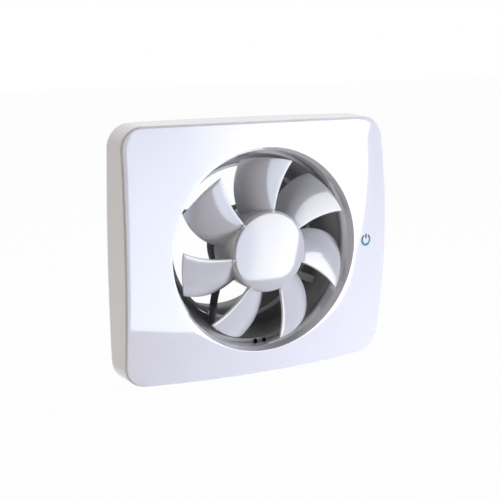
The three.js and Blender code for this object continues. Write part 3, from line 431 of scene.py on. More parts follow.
def arc(centre, radius, start, end, steps, rise=None):
    """Points along a circle's arc, or an ellipse's whose second half axis is the rise."""
    return [(centre[0] + radius * cos(a), centre[1] + (rise or radius) * sin(a))
            for a in steps_between(start, end, steps)]


# Shader nodes

class Signal:
    """A node's output that takes part in arithmetic; each operation adds a Math node."""

    def __init__(self, tree, socket):
        self.tree = tree
        self.socket = socket

    def joined(self, operation, first, second=None):
        node = self.tree.nodes.new("ShaderNodeMath")
        node.operation = operation
        for entry, value in zip(node.inputs, (first, second)):
            connect(self.tree, entry, value)
        return Signal(self.tree, node.outputs[0])

    def __add__(self, other):
        return self.joined("ADD", self, other)

    def __sub__(self, other):
        return self.joined("SUBTRACT", self, other)

    def __rsub__(self, other):
        return self.joined("SUBTRACT", other, self)

    def __mul__(self, other):
        return self.joined("MULTIPLY", self, other)

    def __gt__(self, other):
        return self.joined("GREATER_THAN", self, other)

    def __lt__(self, other):
        return self.joined("LESS_THAN", self, other)

    def __abs__(self):
        return self.joined("ABSOLUTE", self)

    __radd__ = __add__
    __rmul__ = __mul__

    def atleast(self, other):
        return self.joined("MAXIMUM", self, other)

    def wrapped(self, span):
        return self.joined("MODULO", self, span)


def connect(tree, socket, value):
    if isinstance(value, Signal):
        tree.links.new(value.socket, socket)
    elif value is not None:
        socket.default_value = value


class Nodes:
    """Adds nodes to one tree and gives their outputs back as signals."""

    def __init__(self, tree):
        self.tree = tree

    def add(self, kind, settings=None, values=None, output=0):
        """A node's output, or a list of them where output names several."""
        node = self.tree.nodes.new("ShaderNode" + kind)
        for key, value in (settings or {}).items():
            setattr(node, key, value)
        for key, value in (values or {}).items():
            connect(self.tree, node.inputs[key], value)
        if isinstance(output, tuple):
            return [Signal(self.tree, node.outputs[name]) for name in output]
        return Signal(self.tree, node.outputs[output])

    def mixed(self, share, first, second):
        """A colour between two others."""
        opaque = [(*c, 1) if isinstance(c, tuple) and len(c) == 3 else c for c in (first, second)]
        return self.add("Mix", {"data_type": "RGBA"}, {0: share, 6: opaque[0], 7: opaque[1]}, 2)

    def ramped(self, value, low, high, start=0.0, end=1.0):
        """Goes smoothly from start to end while the value goes from low to high."""
        return self.add("MapRange", {"interpolation_type": "SMOOTHSTEP"}, {
            "Value": value, "From Min": low, "From Max": high, "To Min": start, "To Max": end})

    def point(self, x, y, z):
        return self.add("CombineXYZ", None, {"X": x, "Y": y, "Z": z})

    def away(self, across, up):
        """How far a point is from where both coordinates are zero."""
        return self.add("VectorMath", {"operation": "LENGTH"}, {0: self.point(across, up, 0.0)},
                        "Value")

    def axes(self, vector):
        """The vector's three parts."""
        return self.add("SeparateXYZ", None, {0: vector}, ("X", "Y", "Z"))

    def finish(self, shader):
        """Joins the last shader to the tree's output."""
        output = next(node for node in self.tree.nodes if node.type.startswith("OUTPUT"))
        self.tree.links.new(shader.socket, output.inputs["Surface"])


def new_material(name):
    material = bpy.data.materials.new(name)
    material.use_nodes = True
    return material, Nodes(material.node_tree)


class Finish(Nodes):
    """A material round one principled shader, with patterns in the frame's own metres."""

    def __init__(self, name, **fixed):
        self.material, nodes = new_material(name)
        super().__init__(nodes.tree)
        self.shader = self.tree.nodes["Principled BSDF"]
        for socket, value in fixed.items():
            self.shader.inputs[socket.replace("_", " ")].default_value = value
        self.place = self.add("TexCoord", output="Object")

    def xyz(self):
        return self.axes(self.place)

    def noise(self, grain, detail=2.0, vector=None):
        """Cloudy pattern whose features are about one grain across."""
        return self.add("TexNoise", None, {
            "Vector": vector or self.place, "Scale": 1 / grain, "Detail": detail})

    def lines(self, along, pitch):
        """1 on evenly spaced lines and 0 half way between them."""
        return abs(along.wrapped(pitch) * (1 / pitch) - 0.5) * 2.0

    def bump(self, height, depth):
        """Relief as deep as depth where the height goes from 0 to 1."""
        normal = self.add("Bump", None, {"Strength": 1.0, "Distance": depth, "Height": height},
                          "Normal")
        self.tree.links.new(normal.socket, self.shader.inputs["Normal"])

    def drive(self, **inputs):
        for socket, value in inputs.items():
            connect(self.tree, self.shader.inputs[socket.replace("_", " ")], value)
        return self.material


def shade(tint, factor):
    return tuple(min(1.0, channel * factor) for channel in tint)


# Finishes

WELL_OUT = 1.8 * MM         # from the shroud's bore to the middle of a well in its front
WELL_RADIUS = 1.5 * MM

made = {}


def finish_of(name):
    """The material with this name, made when it is first asked for."""
    if name not in made:
        made[name] = MAKERS[name](name)
    return made[name]


def gloss_white(name):
    """Polished moulding with a faint orange-peel waviness, and a painted glow of the symbol's light
    round the symbol's foot.
    """
    cover = bpy.context.scene.fan_cover
    tint = tuple(cover.colour)
    finish = Finish(name, Specular_IOR_Level=0.5, IOR=1.5, Coat_Weight=1.0, Coat_IOR=1.7,
                    Coat_Roughness=0.03)
    cloud = finish.noise(38 * MM)
    smudge = finish.noise(9 * MM, 4.0)
    x, _, z = finish.xyz()
    off = finish.away(x - cover.symbol_place, z)
    # Painted light: the symbol's light, painted as a cyan glow into the moulding's colour round the
    # symbol's foot.
    glow = (finish.ramped(abs(off - cover.symbol_radius), 1.7 * MM, 0.6 * MM)
            * finish.ramped(z * 1.5 + (x - cover.symbol_place), 1 * MM, -5 * MM))
    finish.bump(finish.noise(2.6 * MM, 1.0), 0.0012 * MM)
    return finish.drive(
        Base_Color=finish.mixed(glow * 0.75,
                                finish.mixed(cloud, shade(tint, 1.01), shade(tint, 0.985)),
                                (0.20, 0.82, 0.90)),
        Roughness=0.065 + smudge * 0.05,
    )


def white_plastic(name):
    """Polished impeller moulding with faint flow lines round the axis."""
    tint = tuple(bpy.context.scene.fan_impeller.colour)
    finish = Finish(name, Specular_IOR_Level=0.7, IOR=1.5, Coat_Weight=1.0, Coat_IOR=1.6,
                    Coat_Roughness=0.05)
    x, y, z = finish.xyz()
    flow = finish.noise(6 * MM, 3.0, finish.point(finish.away(x, z), y * 0.2, 0.0))
    cloud = finish.noise(14 * MM, 3.0)
    finish.bump(finish.noise(1.4 * MM, 2.0), 0.0015 * MM)
    return finish.drive(
        Base_Color=finish.mixed(cloud * 0.6 + flow * 0.4, shade(tint, 1.02), shade(tint, 0.965)),
        Roughness=0.10 + cloud * 0.08,
    )


def grey_plastic(name):
    """Moulded duct with a fine spark-eroded grain; painted shade at the pod, in the depth, low down
    and in two wells, and painted light on the lead vane.
    """
    cover, duct = bpy.context.scene.fan_cover, bpy.context.scene.fan_duct
    tint = tuple(duct.colour)
    finish = Finish(name, Specular_IOR_Level=0.12)
    x, y, z = finish.xyz()
    radius = finish.away(x, z)
    # Painted shade: masks that darken the pod, the duct's depth and the bell low down under the
    # hub.
    pod = finish.ramped(radius, 48 * MM, 43 * MM)
    painted_depth_shade = finish.ramped(y, -9 * MM, 1 * MM, 0.0, 0.5)
    below = (finish.ramped(x, -6 * MM, 12 * MM) * finish.ramped(x, 24 * MM, 40 * MM, 1.0, 0.0)
             * (z < -30 * MM) * finish.ramped(y, -18 * MM, -6 * MM, 0.0, 0.9))
    # Painted shade: the two wells behind the lip's notches are painted almost black, as the shade
    # inside them.
    off = finish.away(abs(abs(x - cover.notch_place) - cover.notch_spacing / 2),
                      z + (duct.shroud + WELL_OUT))
    well = (off < WELL_RADIUS + 0.05 * MM) * (y > -duct.shroud_front + 0.1 * MM)
    # Painted light: the lead vane's front, on the right, gets a lighter copy of the colour, as if
    # lit.
    painted_strut_light = (finish.ramped(x, 26 * MM, 34 * MM) * (radius < 56.4 * MM)
             * finish.ramped(y, -3 * MM, -4.5 * MM))
    grain = finish.noise(0.55 * MM, 3.0)
    cloud = finish.noise(17 * MM, 3.0)
    finish.bump(grain, 0.02 * MM)

    def speckled(light, dark):
        return finish.mixed(cloud * 0.7 + grain * 0.3, shade(tint, light), shade(tint, dark))

    # The speckled moulding goes over to a dark copy of itself, as painted shade, where the pod,
    # depth and low-down masks are high.
    moulded = finish.mixed(pod.atleast(painted_depth_shade).atleast(below), speckled(1.12, 0.86),
                           speckled(0.34, 0.26))
    # Painted light on the lead vane, and painted shade in the wells, over the shaded moulding.
    return finish.drive(
        Base_Color=finish.mixed(well, finish.mixed(painted_strut_light, moulded, speckled(1.75, 1.55)),
                                shade(tint, 0.05)),
        Roughness=0.30 + cloud * 0.16,
    )


def tube_plastic(name):
    """Matt pale moulding of the spigot, with faint lines along the axis, and painted shade over its
    front part.
    """
    tint = tuple(bpy.context.scene.fan_plate.colour)
    ledge_end = bpy.context.scene.fan_duct.bell_end
    finish = Finish(name, Specular_IOR_Level=0.0)
    x, y, z = finish.xyz()
    lines = finish.noise(1.1 * MM, 2.0, finish.point(x, y * 0.06, z))
    grain = finish.noise(0.7 * MM, 3.0)
    cloud = finish.noise(24 * MM, 3.0)
    # Painted shade: the tube is darkened from just behind its front ledge back to 18 mm, fading out
    # by 33 mm behind the wall.
    painted_depth_shade = (finish.ramped(y, ledge_end + 1.2 * MM, ledge_end + 3 * MM)
            * finish.ramped(y, 18 * MM, 33 * MM, 1.0, 0.0))
    finish.bump(grain * 0.6 + lines * 0.4, 0.03 * MM)
    moulded = finish.mixed(cloud * 0.6 + lines * 0.4, shade(tint, 1.02), shade(tint, 0.90))
    return finish.drive(
        Base_Color=finish.mixed(painted_depth_shade, moulded, shade(tint, 0.34)),
        Roughness=0.55 + grain * 0.14,
    )


def turned_steel(name, tint, low, high, line):
    """Bright metal with fine rings from the lathe."""
    finish = Finish(name, Metallic=1.0)
    x, y, z = finish.xyz()
    rings = finish.noise(line, 2.0, finish.point(x * 0.15, y, z * 0.15))
    cloud = finish.noise(3 * MM, 3.0)
    finish.bump(rings, 0.006 * MM)
    return finish.drive(
        Base_Color=finish.mixed(cloud, shade(tint, 1.05), shade(tint, 0.85)),
        Roughness=low + rings * (high - low),
    )


def steel(name):
    return turned_steel(name, (0.62, 0.63, 0.65), 0.18, 0.36, 0.25 * MM)


def dark_steel(name):
    return turned_steel(name, (0.20, 0.205, 0.215), 0.3, 0.5, 0.35 * MM)


def zinc_screw(name):
    """Bright zinc plate with spangle and a little dulling."""
    finish = Finish(name, Metallic=1.0)
    spangle = finish.add("TexVoronoi", None, {"Vector": finish.place, "Scale": 1 / (0.5 * MM)},
                         "Color")
    dull = finish.noise(1.2 * MM, 4.0)
    finish.bump(finish.noise(0.25 * MM, 2.0), 0.004 * MM)
    return finish.drive(
        Base_Color=finish.mixed(dull, (0.66, 0.67, 0.68), (0.50, 0.51, 0.53)),
        Roughness=0.20 + dull * 0.18 + finish.add("RGBToBW", None, {0: spangle}) * 0.05,
    )


def laminated(name):
    """Stack of thin steel sheets, seen as lines across the axis."""
    finish = Finish(name, Metallic=1.0)
    line = finish.lines(finish.xyz()[1] + 60 * MM, 0.5 * MM)
    rust = finish.noise(2.5 * MM, 4.0)
    gap = finish.ramped(line, 0.75, 1.0)
    finish.bump(1 - gap, 0.03 * MM)
    return finish.drive(
        Base_Color=finish.mixed(gap, finish.mixed(rust, (0.30, 0.30, 0.31), (0.20, 0.18, 0.17)),
                                (0.04, 0.04, 0.04)),
        Roughness=0.35 + rust * 0.2,
    )


def copper(name):
    """Turns of enamelled wire, lying across each pole."""
    finish = Finish(name, Metallic=1.0, Coat_Weight=0.6, Coat_Roughness=0.15)
    x, _, z = finish.xyz()
    across = finish.lines(finish.away(x, z), 0.35 * MM)
    tone = finish.noise(2 * MM, 2.0)
    finish.bump(1 - across * across, 0.12 * MM)
    return finish.drive(
        Base_Color=finish.mixed(finish.ramped(across, 0.6, 1.0),
                                finish.mixed(tone, (0.62, 0.26, 0.12), (0.50, 0.19, 0.08)),
                                (0.12, 0.04, 0.02)),
        Roughness=0.25 + tone * 0.1,
    )


def board_green(name):
    """Green solder mask over copper tracks, with rows of tinned pads."""
    finish = Finish(name, Specular_IOR_Level=0.5)
    x, _, z = finish.xyz()
    pitch, far = 2.54 * MM, 200 * MM        # far keeps what is wrapped above zero
    off = finish.away(*[(along + far).wrapped(pitch) * (1 / pitch) - 0.5 for along in (x, z)])
    has_pads = finish.noise(5.5 * MM, 0.0) > 0.56
    pads = finish.ramped(off, 0.26, 0.22) * has_pads
    bores = finish.ramped(off, 0.12, 0.09) * has_pads
    track = finish.lines(x + z + far, pitch / 2)
    lane = finish.ramped(track, 0.52, 0.44) * (finish.noise(9 * MM, 0.0) > 0.5)
    mask = finish.mixed(lane, (0.012, 0.105, 0.055), (0.025, 0.19, 0.09))
    tinned = finish.mixed(bores, (0.58, 0.57, 0.54), (0.03, 0.03, 0.03))
    finish.bump((lane * 0.5).atleast(pads), 0.05 * MM)
    return finish.drive(
        Base_Color=finish.mixed(pads, mask, tinned),
        Metallic=pads * (1 - bores),
        Roughness=0.38 - pads * 0.08 + finish.noise(3 * MM, 3.0) * 0.1,
    )


def sleeve(name):
    """Printed plastic sleeve of a capacitor, with its pale stripe."""
    finish = Finish(name, Specular_IOR_Level=0.5)
    stripe = (finish.xyz()[0] - 58.2 * MM) > 0.0        # the capacitor's right-hand side
    tone = finish.noise(2 * MM, 3.0)
    finish.bump(finish.noise(0.8 * MM, 2.0), 0.02 * MM)
    dark = finish.mixed(tone, (0.012, 0.016, 0.045), (0.02, 0.026, 0.06))
    return finish.drive(
        Base_Color=finish.mixed(stripe, dark, (0.42, 0.44, 0.48)),
        Roughness=0.26 + tone * 0.12,
    )


def symbol_ring(name):
    """Printed ring lit from behind: brightest at its foot, fading to the upper left."""
    cover = bpy.context.scene.fan_cover
    bright = tuple(cover.light)
    finish = Finish(name, Roughness=0.3, Emission_Strength=1.0)
    x, _, z = finish.xyz()
    along = ((cover.symbol_place - x) * 0.5 + z * 1.6) * (1 / (3.6 * cover.symbol_radius))
    fade = finish.ramped(along + (finish.noise(1.2 * MM, 1.0) - 0.5) * 0.15, -0.55, 0.55)
    return finish.drive(
        Base_Color=finish.mixed(fade, (0.02, 0.12, 0.17), (0.02, 0.05, 0.065)),
        Emission_Color=finish.mixed(fade, shade(bright, 0.16), shade(bright, 0.03)),
    )


def mottled(name, light, dark, cloud, relief, depth, rough, **fixed):
    """A plain moulding: cloud and relief are noises, as their size in millimetres and detail.

    The roughness is rough[0], and up to rough[1] more where the noise that rough[2] names is high.
    """
    finish = Finish(name, **fixed)
    noises = {key: finish.noise(size * MM, detail)
              for key, (size, detail) in (("cloud", cloud), ("relief", relief))}
    finish.bump(noises["relief"], depth * MM)
    low, more, source = rough
    return finish.drive(Base_Color=finish.mixed(noises["cloud"], light, dark),
                        Roughness=low + noises[source] * more)


def plate_plastic(name):
    """Pale satin moulding of the wall plate."""
    tint = tuple(bpy.context.scene.fan_plate.colour)
    return mottled(name, shade(tint, 1.03), shade(tint, 0.94), (24, 3.0), (0.7, 3.0), 0.03,
                   (0.42, 0.14, "relief"), Specular_IOR_Level=0.2)


def ferrite(name):
    """Sintered magnet, dark and finely speckled."""
    return mottled(name, (0.022, 0.022, 0.025), (0.055, 0.054, 0.056), (0.35, 4.0), (0.35, 4.0),
                   0.03, (0.55, 0.3, "cloud"), Specular_IOR_Level=0.5)


def black_plastic(name):
    """Filled black plastic with a fine matt grain."""
    return mottled(name, (0.014, 0.014, 0.016), (0.030, 0.030, 0.032), (6, 3.0), (0.4, 3.0),
                   0.025, (0.42, 0.2, "relief"), Specular_IOR_Level=0.5)


def sensor_white(name):
    """Small pale sensor housing."""
    return mottled(name, (0.74, 0.74, 0.72), (0.64, 0.64, 0.62), (1.5, 3.0), (1.5, 3.0), 0.02,
                   (0.4, 0.15, "cloud"), Specular_IOR_Level=0.5)


def milky(name):
    """Milky light guide."""
    return mottled(name, (0.80, 0.84, 0.86), (0.72, 0.77, 0.80), (3, 2.0), (1.2, 1.0), 0.004,
                   (0.2, 0.1, "cloud"), Specular_IOR_Level=0.5, Subsurface_Weight=0.2,
                   Subsurface_Scale=2 * MM)


def rubber(name):
    """Matt rubber with a dusty bloom."""
    return mottled(name, (0.030, 0.030, 0.032), (0.062, 0.060, 0.058), (2.2, 4.0), (0.5, 3.0),
                   0.03, (0.68, 0.2, "cloud"), Specular_IOR_Level=0.35)


def symbol_bar(name):
    """Printed bar of the symbol, grey."""
    finish = Finish(name, Roughness=0.3)
    tone = finish.noise(0.8 * MM, 2.0)
    return finish.drive(
        Base_Color=finish.mixed(tone, (0.11, 0.11, 0.15), (0.08, 0.08, 0.12)),
        Roughness=0.28 + tone * 0.06,
    )


MAKERS = {maker.__name__: maker for maker in (
    gloss_white, white_plastic, grey_plastic, tube_plastic, steel, dark_steel, zinc_screw,
    laminated, copper, board_green, sleeve, symbol_ring, plate_plastic, ferrite, black_plastic,
    sensor_white, milky, rubber, symbol_bar)}


# Outline of the cover: four bowed edges joined by round corners

def outline(cover, inset=0.0, steps=(20, 14, 20)):
    """Points anticlockwise from the middle of the right edge, drawn in by the inset."""
    half_width, half_height = cover.width / 2, cover.height / 2
    side_arc = (half_height ** 2 + cover.side_bow ** 2) / (2 * cover.side_bow)
    top_arc = (half_width ** 2 + cover.top_bow ** 2) / (2 * cover.top_bow)
    side, top = Vector((half_width - side_arc, 0)), Vector((0, half_height - top_arc))
    corner = meeting(side, side_arc - cover.corner_radius, top, top_arc - cover.corner_radius)
    side_end = atan2(*(corner - side).yx)
    top_start = atan2(*(corner - top).yx)
    quarter = [
        *arc(side, side_arc - inset, 0, side_end, steps[0])[:-1],
        *arc(corner, cover.corner_radius - inset, side_end, top_start, steps[1])[:-1],
        *arc(top, top_arc - inset, top_start, QUARTER, steps[2])[:-1],
        (0, half_height - inset),
    ]
    inner, outer = quarter[:-1], quarter[:0:-1]
    return [
        *inner,
        *[(-x, z) for x, z in outer],
        *[(-x, -z) for x, z in inner],
        *[(x, -z) for x, z in outer],
    ]


def meeting(a, radius_a, b, radius_b):
    """Where two circles meet, to the right."""
    between = b - a
    distance = between.length
    along = (distance ** 2 + radius_a ** 2 - radius_b ** 2) / (2 * distance)
    aside = sqrt(radius_a ** 2 - along ** 2)
    unit = between / distance
    normal = Vector((unit.y, -unit.x))
    if normal.x < 0:
        normal.negate()
    return a + unit * along + normal * aside


def level(points, depth):
    """A ring from outline points and a depth, or a function that gives it."""
    return [Vector((x, depth(x, z) if callable(depth) else depth, z)) for x, z in points]


def mouth(line, radius):
    """A circle with its points in line with the outline's."""
    return [polar(radius, atan2(z, x)) for x, z in line]


def between(outer, inner, share):
    return [(x + (u - x) * share, z + (v - z) * share) for (x, z), (u, v) in zip(outer, inner)]


def ring_between(first, second, share):
    return [a.lerp(b, share) for a, b in zip(first, second)]


def face_depth(cover, x, z):
    """Depth of the pillow-shaped face; further forward is more negative."""
    across = 1 - (x / (cover.width / 2)) ** 2
    upward = 1 - (z / (cover.height / 2)) ** 2
    return -(cover.edge_depth + cover.rise_across * across + cover.rise_up * upward)


def cover_rings(cover):
    """Rings of the cover's skin, from its rear rim over the face, down the lip and back."""
    gap, crisp = 0.3 * MM, 0.25 * MM
    line = outline(cover)
    edge = outline(cover, cover.edge_round)
    rim = mouth(line, cover.opening + cover.mouth_round)

    def face(push=0.0):
        return lambda x, z: face_depth(cover, x, z) + push

    foot = level(outline(cover, -cover.draft), -gap - crisp)
    rings = [level(outline(cover, crisp - cover.draft), -gap), foot]
    shoulder = []
    for turned in steps_between(0, QUARTER, 9):
        inset = cover.edge_round * (1 - cos(turned))
        drop = cover.edge_round * (1 - sin(turned))
        shoulder.append(level(outline(cover, inset), face(drop)))
    rings += [ring_between(foot, shoulder[0], share) for share in (0.03, 0.35, 0.68, 0.97)]
    rings += shoulder
    rings += [level(between(edge, rim, share), face()) for share in steps_between(0, 1, 16)[1:]]
    for turned in steps_between(0, QUARTER, 7)[1:]:
        radius = cover.opening + cover.mouth_round * (1 - sin(turned))
        rings.append(level(mouth(line, radius), face(cover.mouth_round * (1 - cos(turned)))))
    waist = level(mouth(line, cover.waist), face(cover.waist_depth))
    rings += [ring_between(rings[-1], waist, share) for share in (0.08, 0.5, 0.9, 1)]
    end = level(mouth(line, cover.lip_rear), -cover.lip_end - crisp)
    rings += [ring_between(waist, end, share) for share in (0.06, 0.5, 0.97, 1)]
    rings += [
        level(mouth(line, cover.lip_rear + crisp), -cover.lip_end),
        level(mouth(line, cover.lip_rear + cover.lip_wall), -cover.lip_end),
        level(mouth(line, cover.waist + cover.lip_wall), face(cover.waist_depth)),
    ]
    inner_edge = outline(cover, cover.wall + cover.edge_round)
    inner_rim = mouth(line, cover.opening + cover.lip_wall)
    under = face(cover.wall)
    rings += [level(between(inner_rim, inner_edge, share), under)
              for share in steps_between(0, 1, 6)]
    for turned in (0.9, 0.4, 0.0):
        inset = cover.wall + cover.edge_round * (1 - cos(turned))
        drop = cover.wall + cover.edge_round * (1 - sin(turned))
        rings.append(level(outline(cover, inset), face(drop)))
    rings.append(level(outline(cover, cover.wall - cover.draft), -gap))
    return rings


class FAN_OT_add_cover(Operator):
    """Front cover: pillow-shaped face, round lip, skirt, notches and clip ribs"""
    bl_idname = "fan.add_cover"
    bl_label = "Add front cover"

    def execute(self, context):
        cover, plate = context.scene.fan_cover, context.scene.fan_plate
        obj = lofted("cover_moulding", cover_rings(cover))
        middle = -(cover.lip_rear + cover.lip_wall / 2)
        reach = 1.5 * cover.lip_wall
        front, rear = -(cover.lip_end + cover.notch_length), -cover.lip_end + MM
        half = cover.notch_width / 2
        combine(obj, [box("notch", (x - half, front, middle - reach),
                          (x + half, rear, middle + reach), 0.2 * MM)
                      for x in notch_middles(cover)], "DIFFERENCE")
        ribs = []
        top_arc = (cover.width ** 2 / 4 + cover.top_bow ** 2) / (2 * cover.top_bow)
        bow = top_arc - sqrt(top_arc ** 2 - cover.clip_offset ** 2)
        inner = cover.height / 2 - plate.rim_inset + 0.3 * MM - bow
        outer = cover.height / 2 - (cover.wall - cover.draft) / 2 - bow
        front, rear = -(plate.thickness + plate.rim_height), -(plate.thickness + 0.3 * MM)
        for across in (-1, 1):
            x = across * cover.clip_offset
            for low, high in ((inner, outer), (-outer, -inner)):
                ribs.append(box("rib", (x - cover.clip_length / 2, front, low),
                                (x + cover.clip_length / 2, rear, high), 0.25 * MM))
        combine(obj, ribs, "UNION")
        settled(obj, "cover", "gloss_white", ["front_cover"])
        return {"FINISHED"}


class FAN_OT_add_symbol(Operator):
    """Touch symbol: an open ring and a bar, printed on the cover's face"""
    bl_idname = "fan.add_symbol"
    bl_label = "Add touch symbol"

    def execute(self, context):
        cover = context.scene.fan_cover
        radius, half = cover.symbol_radius, cover.symbol_stroke / 2
        middle = cover.symbol_place
        sunk, proud = -0.05 * MM, 0.04 * MM

        def section(low, high):
            """The line's four corners between two points of its width, in and over the face."""
            return [Vector((x, face_depth(cover, x, z) - lift, z)) for (x, z), lift in (
                (low, sunk), (high, sunk), (high, proud), (low, proud))]

        rings = []
        for turned in steps_between(cover.symbol_gap, TURN - cover.symbol_gap, 48):
            across, up = polar(1, QUARTER + turned)
            rings.append(section(*[(middle + across * reach, up * reach)
                                   for reach in (radius - half, radius + half)]))
        ring = lofted("symbol_ring", rings, capped=True)
        settled(ring, "cover", "symbol_ring", [])
        half *= 1.15        # the bar is a little wider than the ring
        rings = [section((middle - half, z), (middle + half, z))
                 for z in steps_between(0.9 * MM, radius + 0.65 * MM, 4)]
        bar = lofted("symbol_bar", rings, capped=True)
        settled(bar, "cover", "symbol_bar", [])
        return {"FINISHED"}


# Impeller

def blade_point(sizes, radius, chord):
    """Angle and depth of a blade's middle surface, and its half thickness."""
    inward = (sizes.tip - radius) / (sizes.tip - sizes.hub)
    lead = sizes.lead + sizes.sweep * inward + sizes.curl * inward ** 2
    width = sizes.chord + sizes.chord_growth * inward + sizes.chord_curl * inward ** 2
    bulge = -sizes.camber * 4 * chord * (1 - chord)
    shift = sizes.camber_shift * chord * (1 - chord) * (1 - 2 * chord)
    depth = -sizes.front - sizes.front_rise * inward ** 2 + sizes.depth * chord + bulge + shift
    return lead + width * chord, depth


LEADING = 0.055         # share of the chord that the round leading edge takes up
EDGE_SHARE = 0.2        # thickness of the very edge over the blade's
TAIL_TAPER = 0.5        # how much of its thickness the blade loses to its tail


def blade_half(sizes, radius, chord):
    """Half the blade's thickness, with its round leading edge, thin tail and root fillet."""
    share = 1 - (sizes.tip - radius) / (sizes.tip - sizes.hub)
    full = sizes.root_thickness + (sizes.tip_thickness - sizes.root_thickness) * share
    along = 1 - TAIL_TAPER * chord ** 2
    if chord < LEADING:
        lead = 1 - chord / LEADING
        along = EDGE_SHARE + (1 - EDGE_SHARE) * sqrt(max(0.0, 1 - lead ** 2))
    near = min(1.0, max(0.0, 1 - (radius - sizes.hub) / sizes.root_fillet))
    return full / 2 * along + sizes.root_fillet * 0.55 * near ** 2.2


def blade_side(sizes, radius, chord, side):
    """A point on the front (1) or rear (-1) of the first blade."""
    nearby = 0.01
    turned, y = blade_point(sizes, radius, chord)
    ahead = blade_point(sizes, radius, min(chord + nearby, 1))
    behind = blade_point(sizes, radius, max(chord - nearby, 0))
    along = Vector((radius * (ahead[0] - behind[0]), ahead[1] - behind[1])).normalized()
    half = side * blade_half(sizes, radius, chord)
    x, z = polar(radius, turned + half * along.y / radius)
    return Vector((x, y - half * along.x, z))


class FAN_OT_add_impeller(Operator):
    """Impeller: hub with a crowned nose and swept blades"""
    bl_idname = "fan.add_impeller"
    bl_label = "Add impeller"

    def execute(self, context):
        sizes = context.scene.fan_impeller
        hub = spun("impeller_moulding", self.hub_profile(sizes), 144)
        root = sizes.hub - 0.9 * sizes.hub_wall
        fillet = sizes.root_fillet
        radii = [root, sizes.hub - 0.2 * MM]
        radii += [sizes.hub + fillet * share for share in (0.05, 0.15, 0.3, 0.5, 0.75, 1)]
        radii += steps_between(sizes.hub + fillet, sizes.tip, 16)[1:]
        chords = [0, 0.006, 0.016, 0.032, 0.055, *steps_between(0.09, 1, 22)]

        def side(which):
            return lambda i, j: blade_side(sizes, radii[j], chords[i], which)

        first = slab_of("blade", len(chords), len(radii), side(1), side(-1))
        self.round_rim(first, sizes)
        blades = [copied(first, "blade", about_axis(TURN * k / sizes.blades))
                  for k in range(1, sizes.blades)]
        combine(hub, [first, *blades], "UNION")
        settled(hub, "impeller", "white_plastic", ["impeller"], smooth=42)
        return {"FINISHED"}

    @staticmethod
    def round_rim(blade, sizes):
        """Takes the sharpness off the blade's tip and tail."""
        sharp, near_root = radians(55), sizes.hub + 1.5 * MM
        select_only(blade)
        bpy.ops.object.mode_set(mode="EDIT")
        mesh = bmesh.from_edit_mesh(blade.data)
        bpy.ops.mesh.select_all(action="DESELECT")
        bpy.ops.mesh.select_mode(type="EDGE")
        for edge in mesh.edges:
            if len(edge.link_faces) == 2 and edge.calc_face_angle(0) > sharp:
                edge.select = max(v.co.xz.length for v in edge.verts) > near_root
        bmesh.update_edit_mesh(blade.data)
        bpy.ops.mesh.bevel(offset=0.22 * MM, segments=2)
        bpy.ops.object.mode_set(mode="OBJECT")

    @staticmethod
    def hub_profile(sizes):
        """The hub in section: crowned nose, side, hollow and the boss round the shaft."""
        slope = atan(2 * sizes.nose_rise / sizes.hub)
        nose_edge = sizes.hub - sizes.nose_round * (1 - sin(slope))
        profile = []
        for radius in steps_between(0, nose_edge, 24):
            crown = tan(slope) * (nose_edge ** 2 - radius ** 2) / (2 * nose_edge)
            depth = sizes.hub_front + sizes.nose_round * cos(slope) + crown
            profile.append((radius, -depth))
        profile += arc((sizes.hub - sizes.nose_round, -sizes.hub_front), sizes.nose_round,
                       slope - QUARTER, 0, 12)[1:]
        side = [-(sizes.hub_front - 0.4 * MM), -20 * MM, -(sizes.hub_rear + 0.3 * MM)]
        inner = sizes.hub - sizes.hub_wall
        return [
            *profile,
            *[(sizes.hub, y) for y in side],
            (sizes.hub - 0.3 * MM, -sizes.hub_rear),
            (inner, -sizes.hub_rear),
            (inner, -sizes.ceiling + sizes.hub_wall / 2),
            (inner - sizes.hub_wall / 2, -sizes.ceiling),
            (sizes.boss, -sizes.ceiling),
            (sizes.boss, -sizes.boss_rear - 0.2 * MM),
            (sizes.boss - 0.2 * MM, -sizes.boss_rear),
            (sizes.bore, -sizes.boss_rear),
            (sizes.bore, -sizes.bore_end),
            (0, -sizes.bore_end),
        ]


# Duct

def bell_curve(duct, offset, steps):
    """Bore of the bell from the shroud to its collar, moved outward by an offset."""
    fall = duct.shroud - duct.socket
    run = duct.bell_start + duct.bell_end
    points = []
    for turned in steps_between(0, QUARTER, steps):
        normal = Vector((run * cos(turned), fall * sin(turned))).normalized()
        points.append((duct.shroud - fall * (1 - cos(turned)) + offset * normal.x,
                       -duct.bell_start + run * sin(turned) + offset * normal.y))
    return points


def rod(radius, front, rear, place, steps=28):
    """A round bar along Y, to join to a piece or to cut out of it."""
    return spun("rod", [(0, front), (radius, front), (radius, rear), (0, rear)], steps, place)


def notch_middles(cover):
    """Where the two notches at the bottom of the lip lie, from left to right."""
    return [cover.notch_place + side * cover.notch_spacing / 2 for side in (-1, 1)]


def pod_posts(duct):
    """Places of the three screw posts in the pod."""
    return [polar(duct.post_place, radians(turned)) for turned in (30, 150, 270)]


def lug_turns(duct):
    """The angles at which the duct's four screw lugs lie."""
    return [duct.lug_angle, pi - duct.lug_angle, pi + duct.lug_angle, -duct.lug_angle]


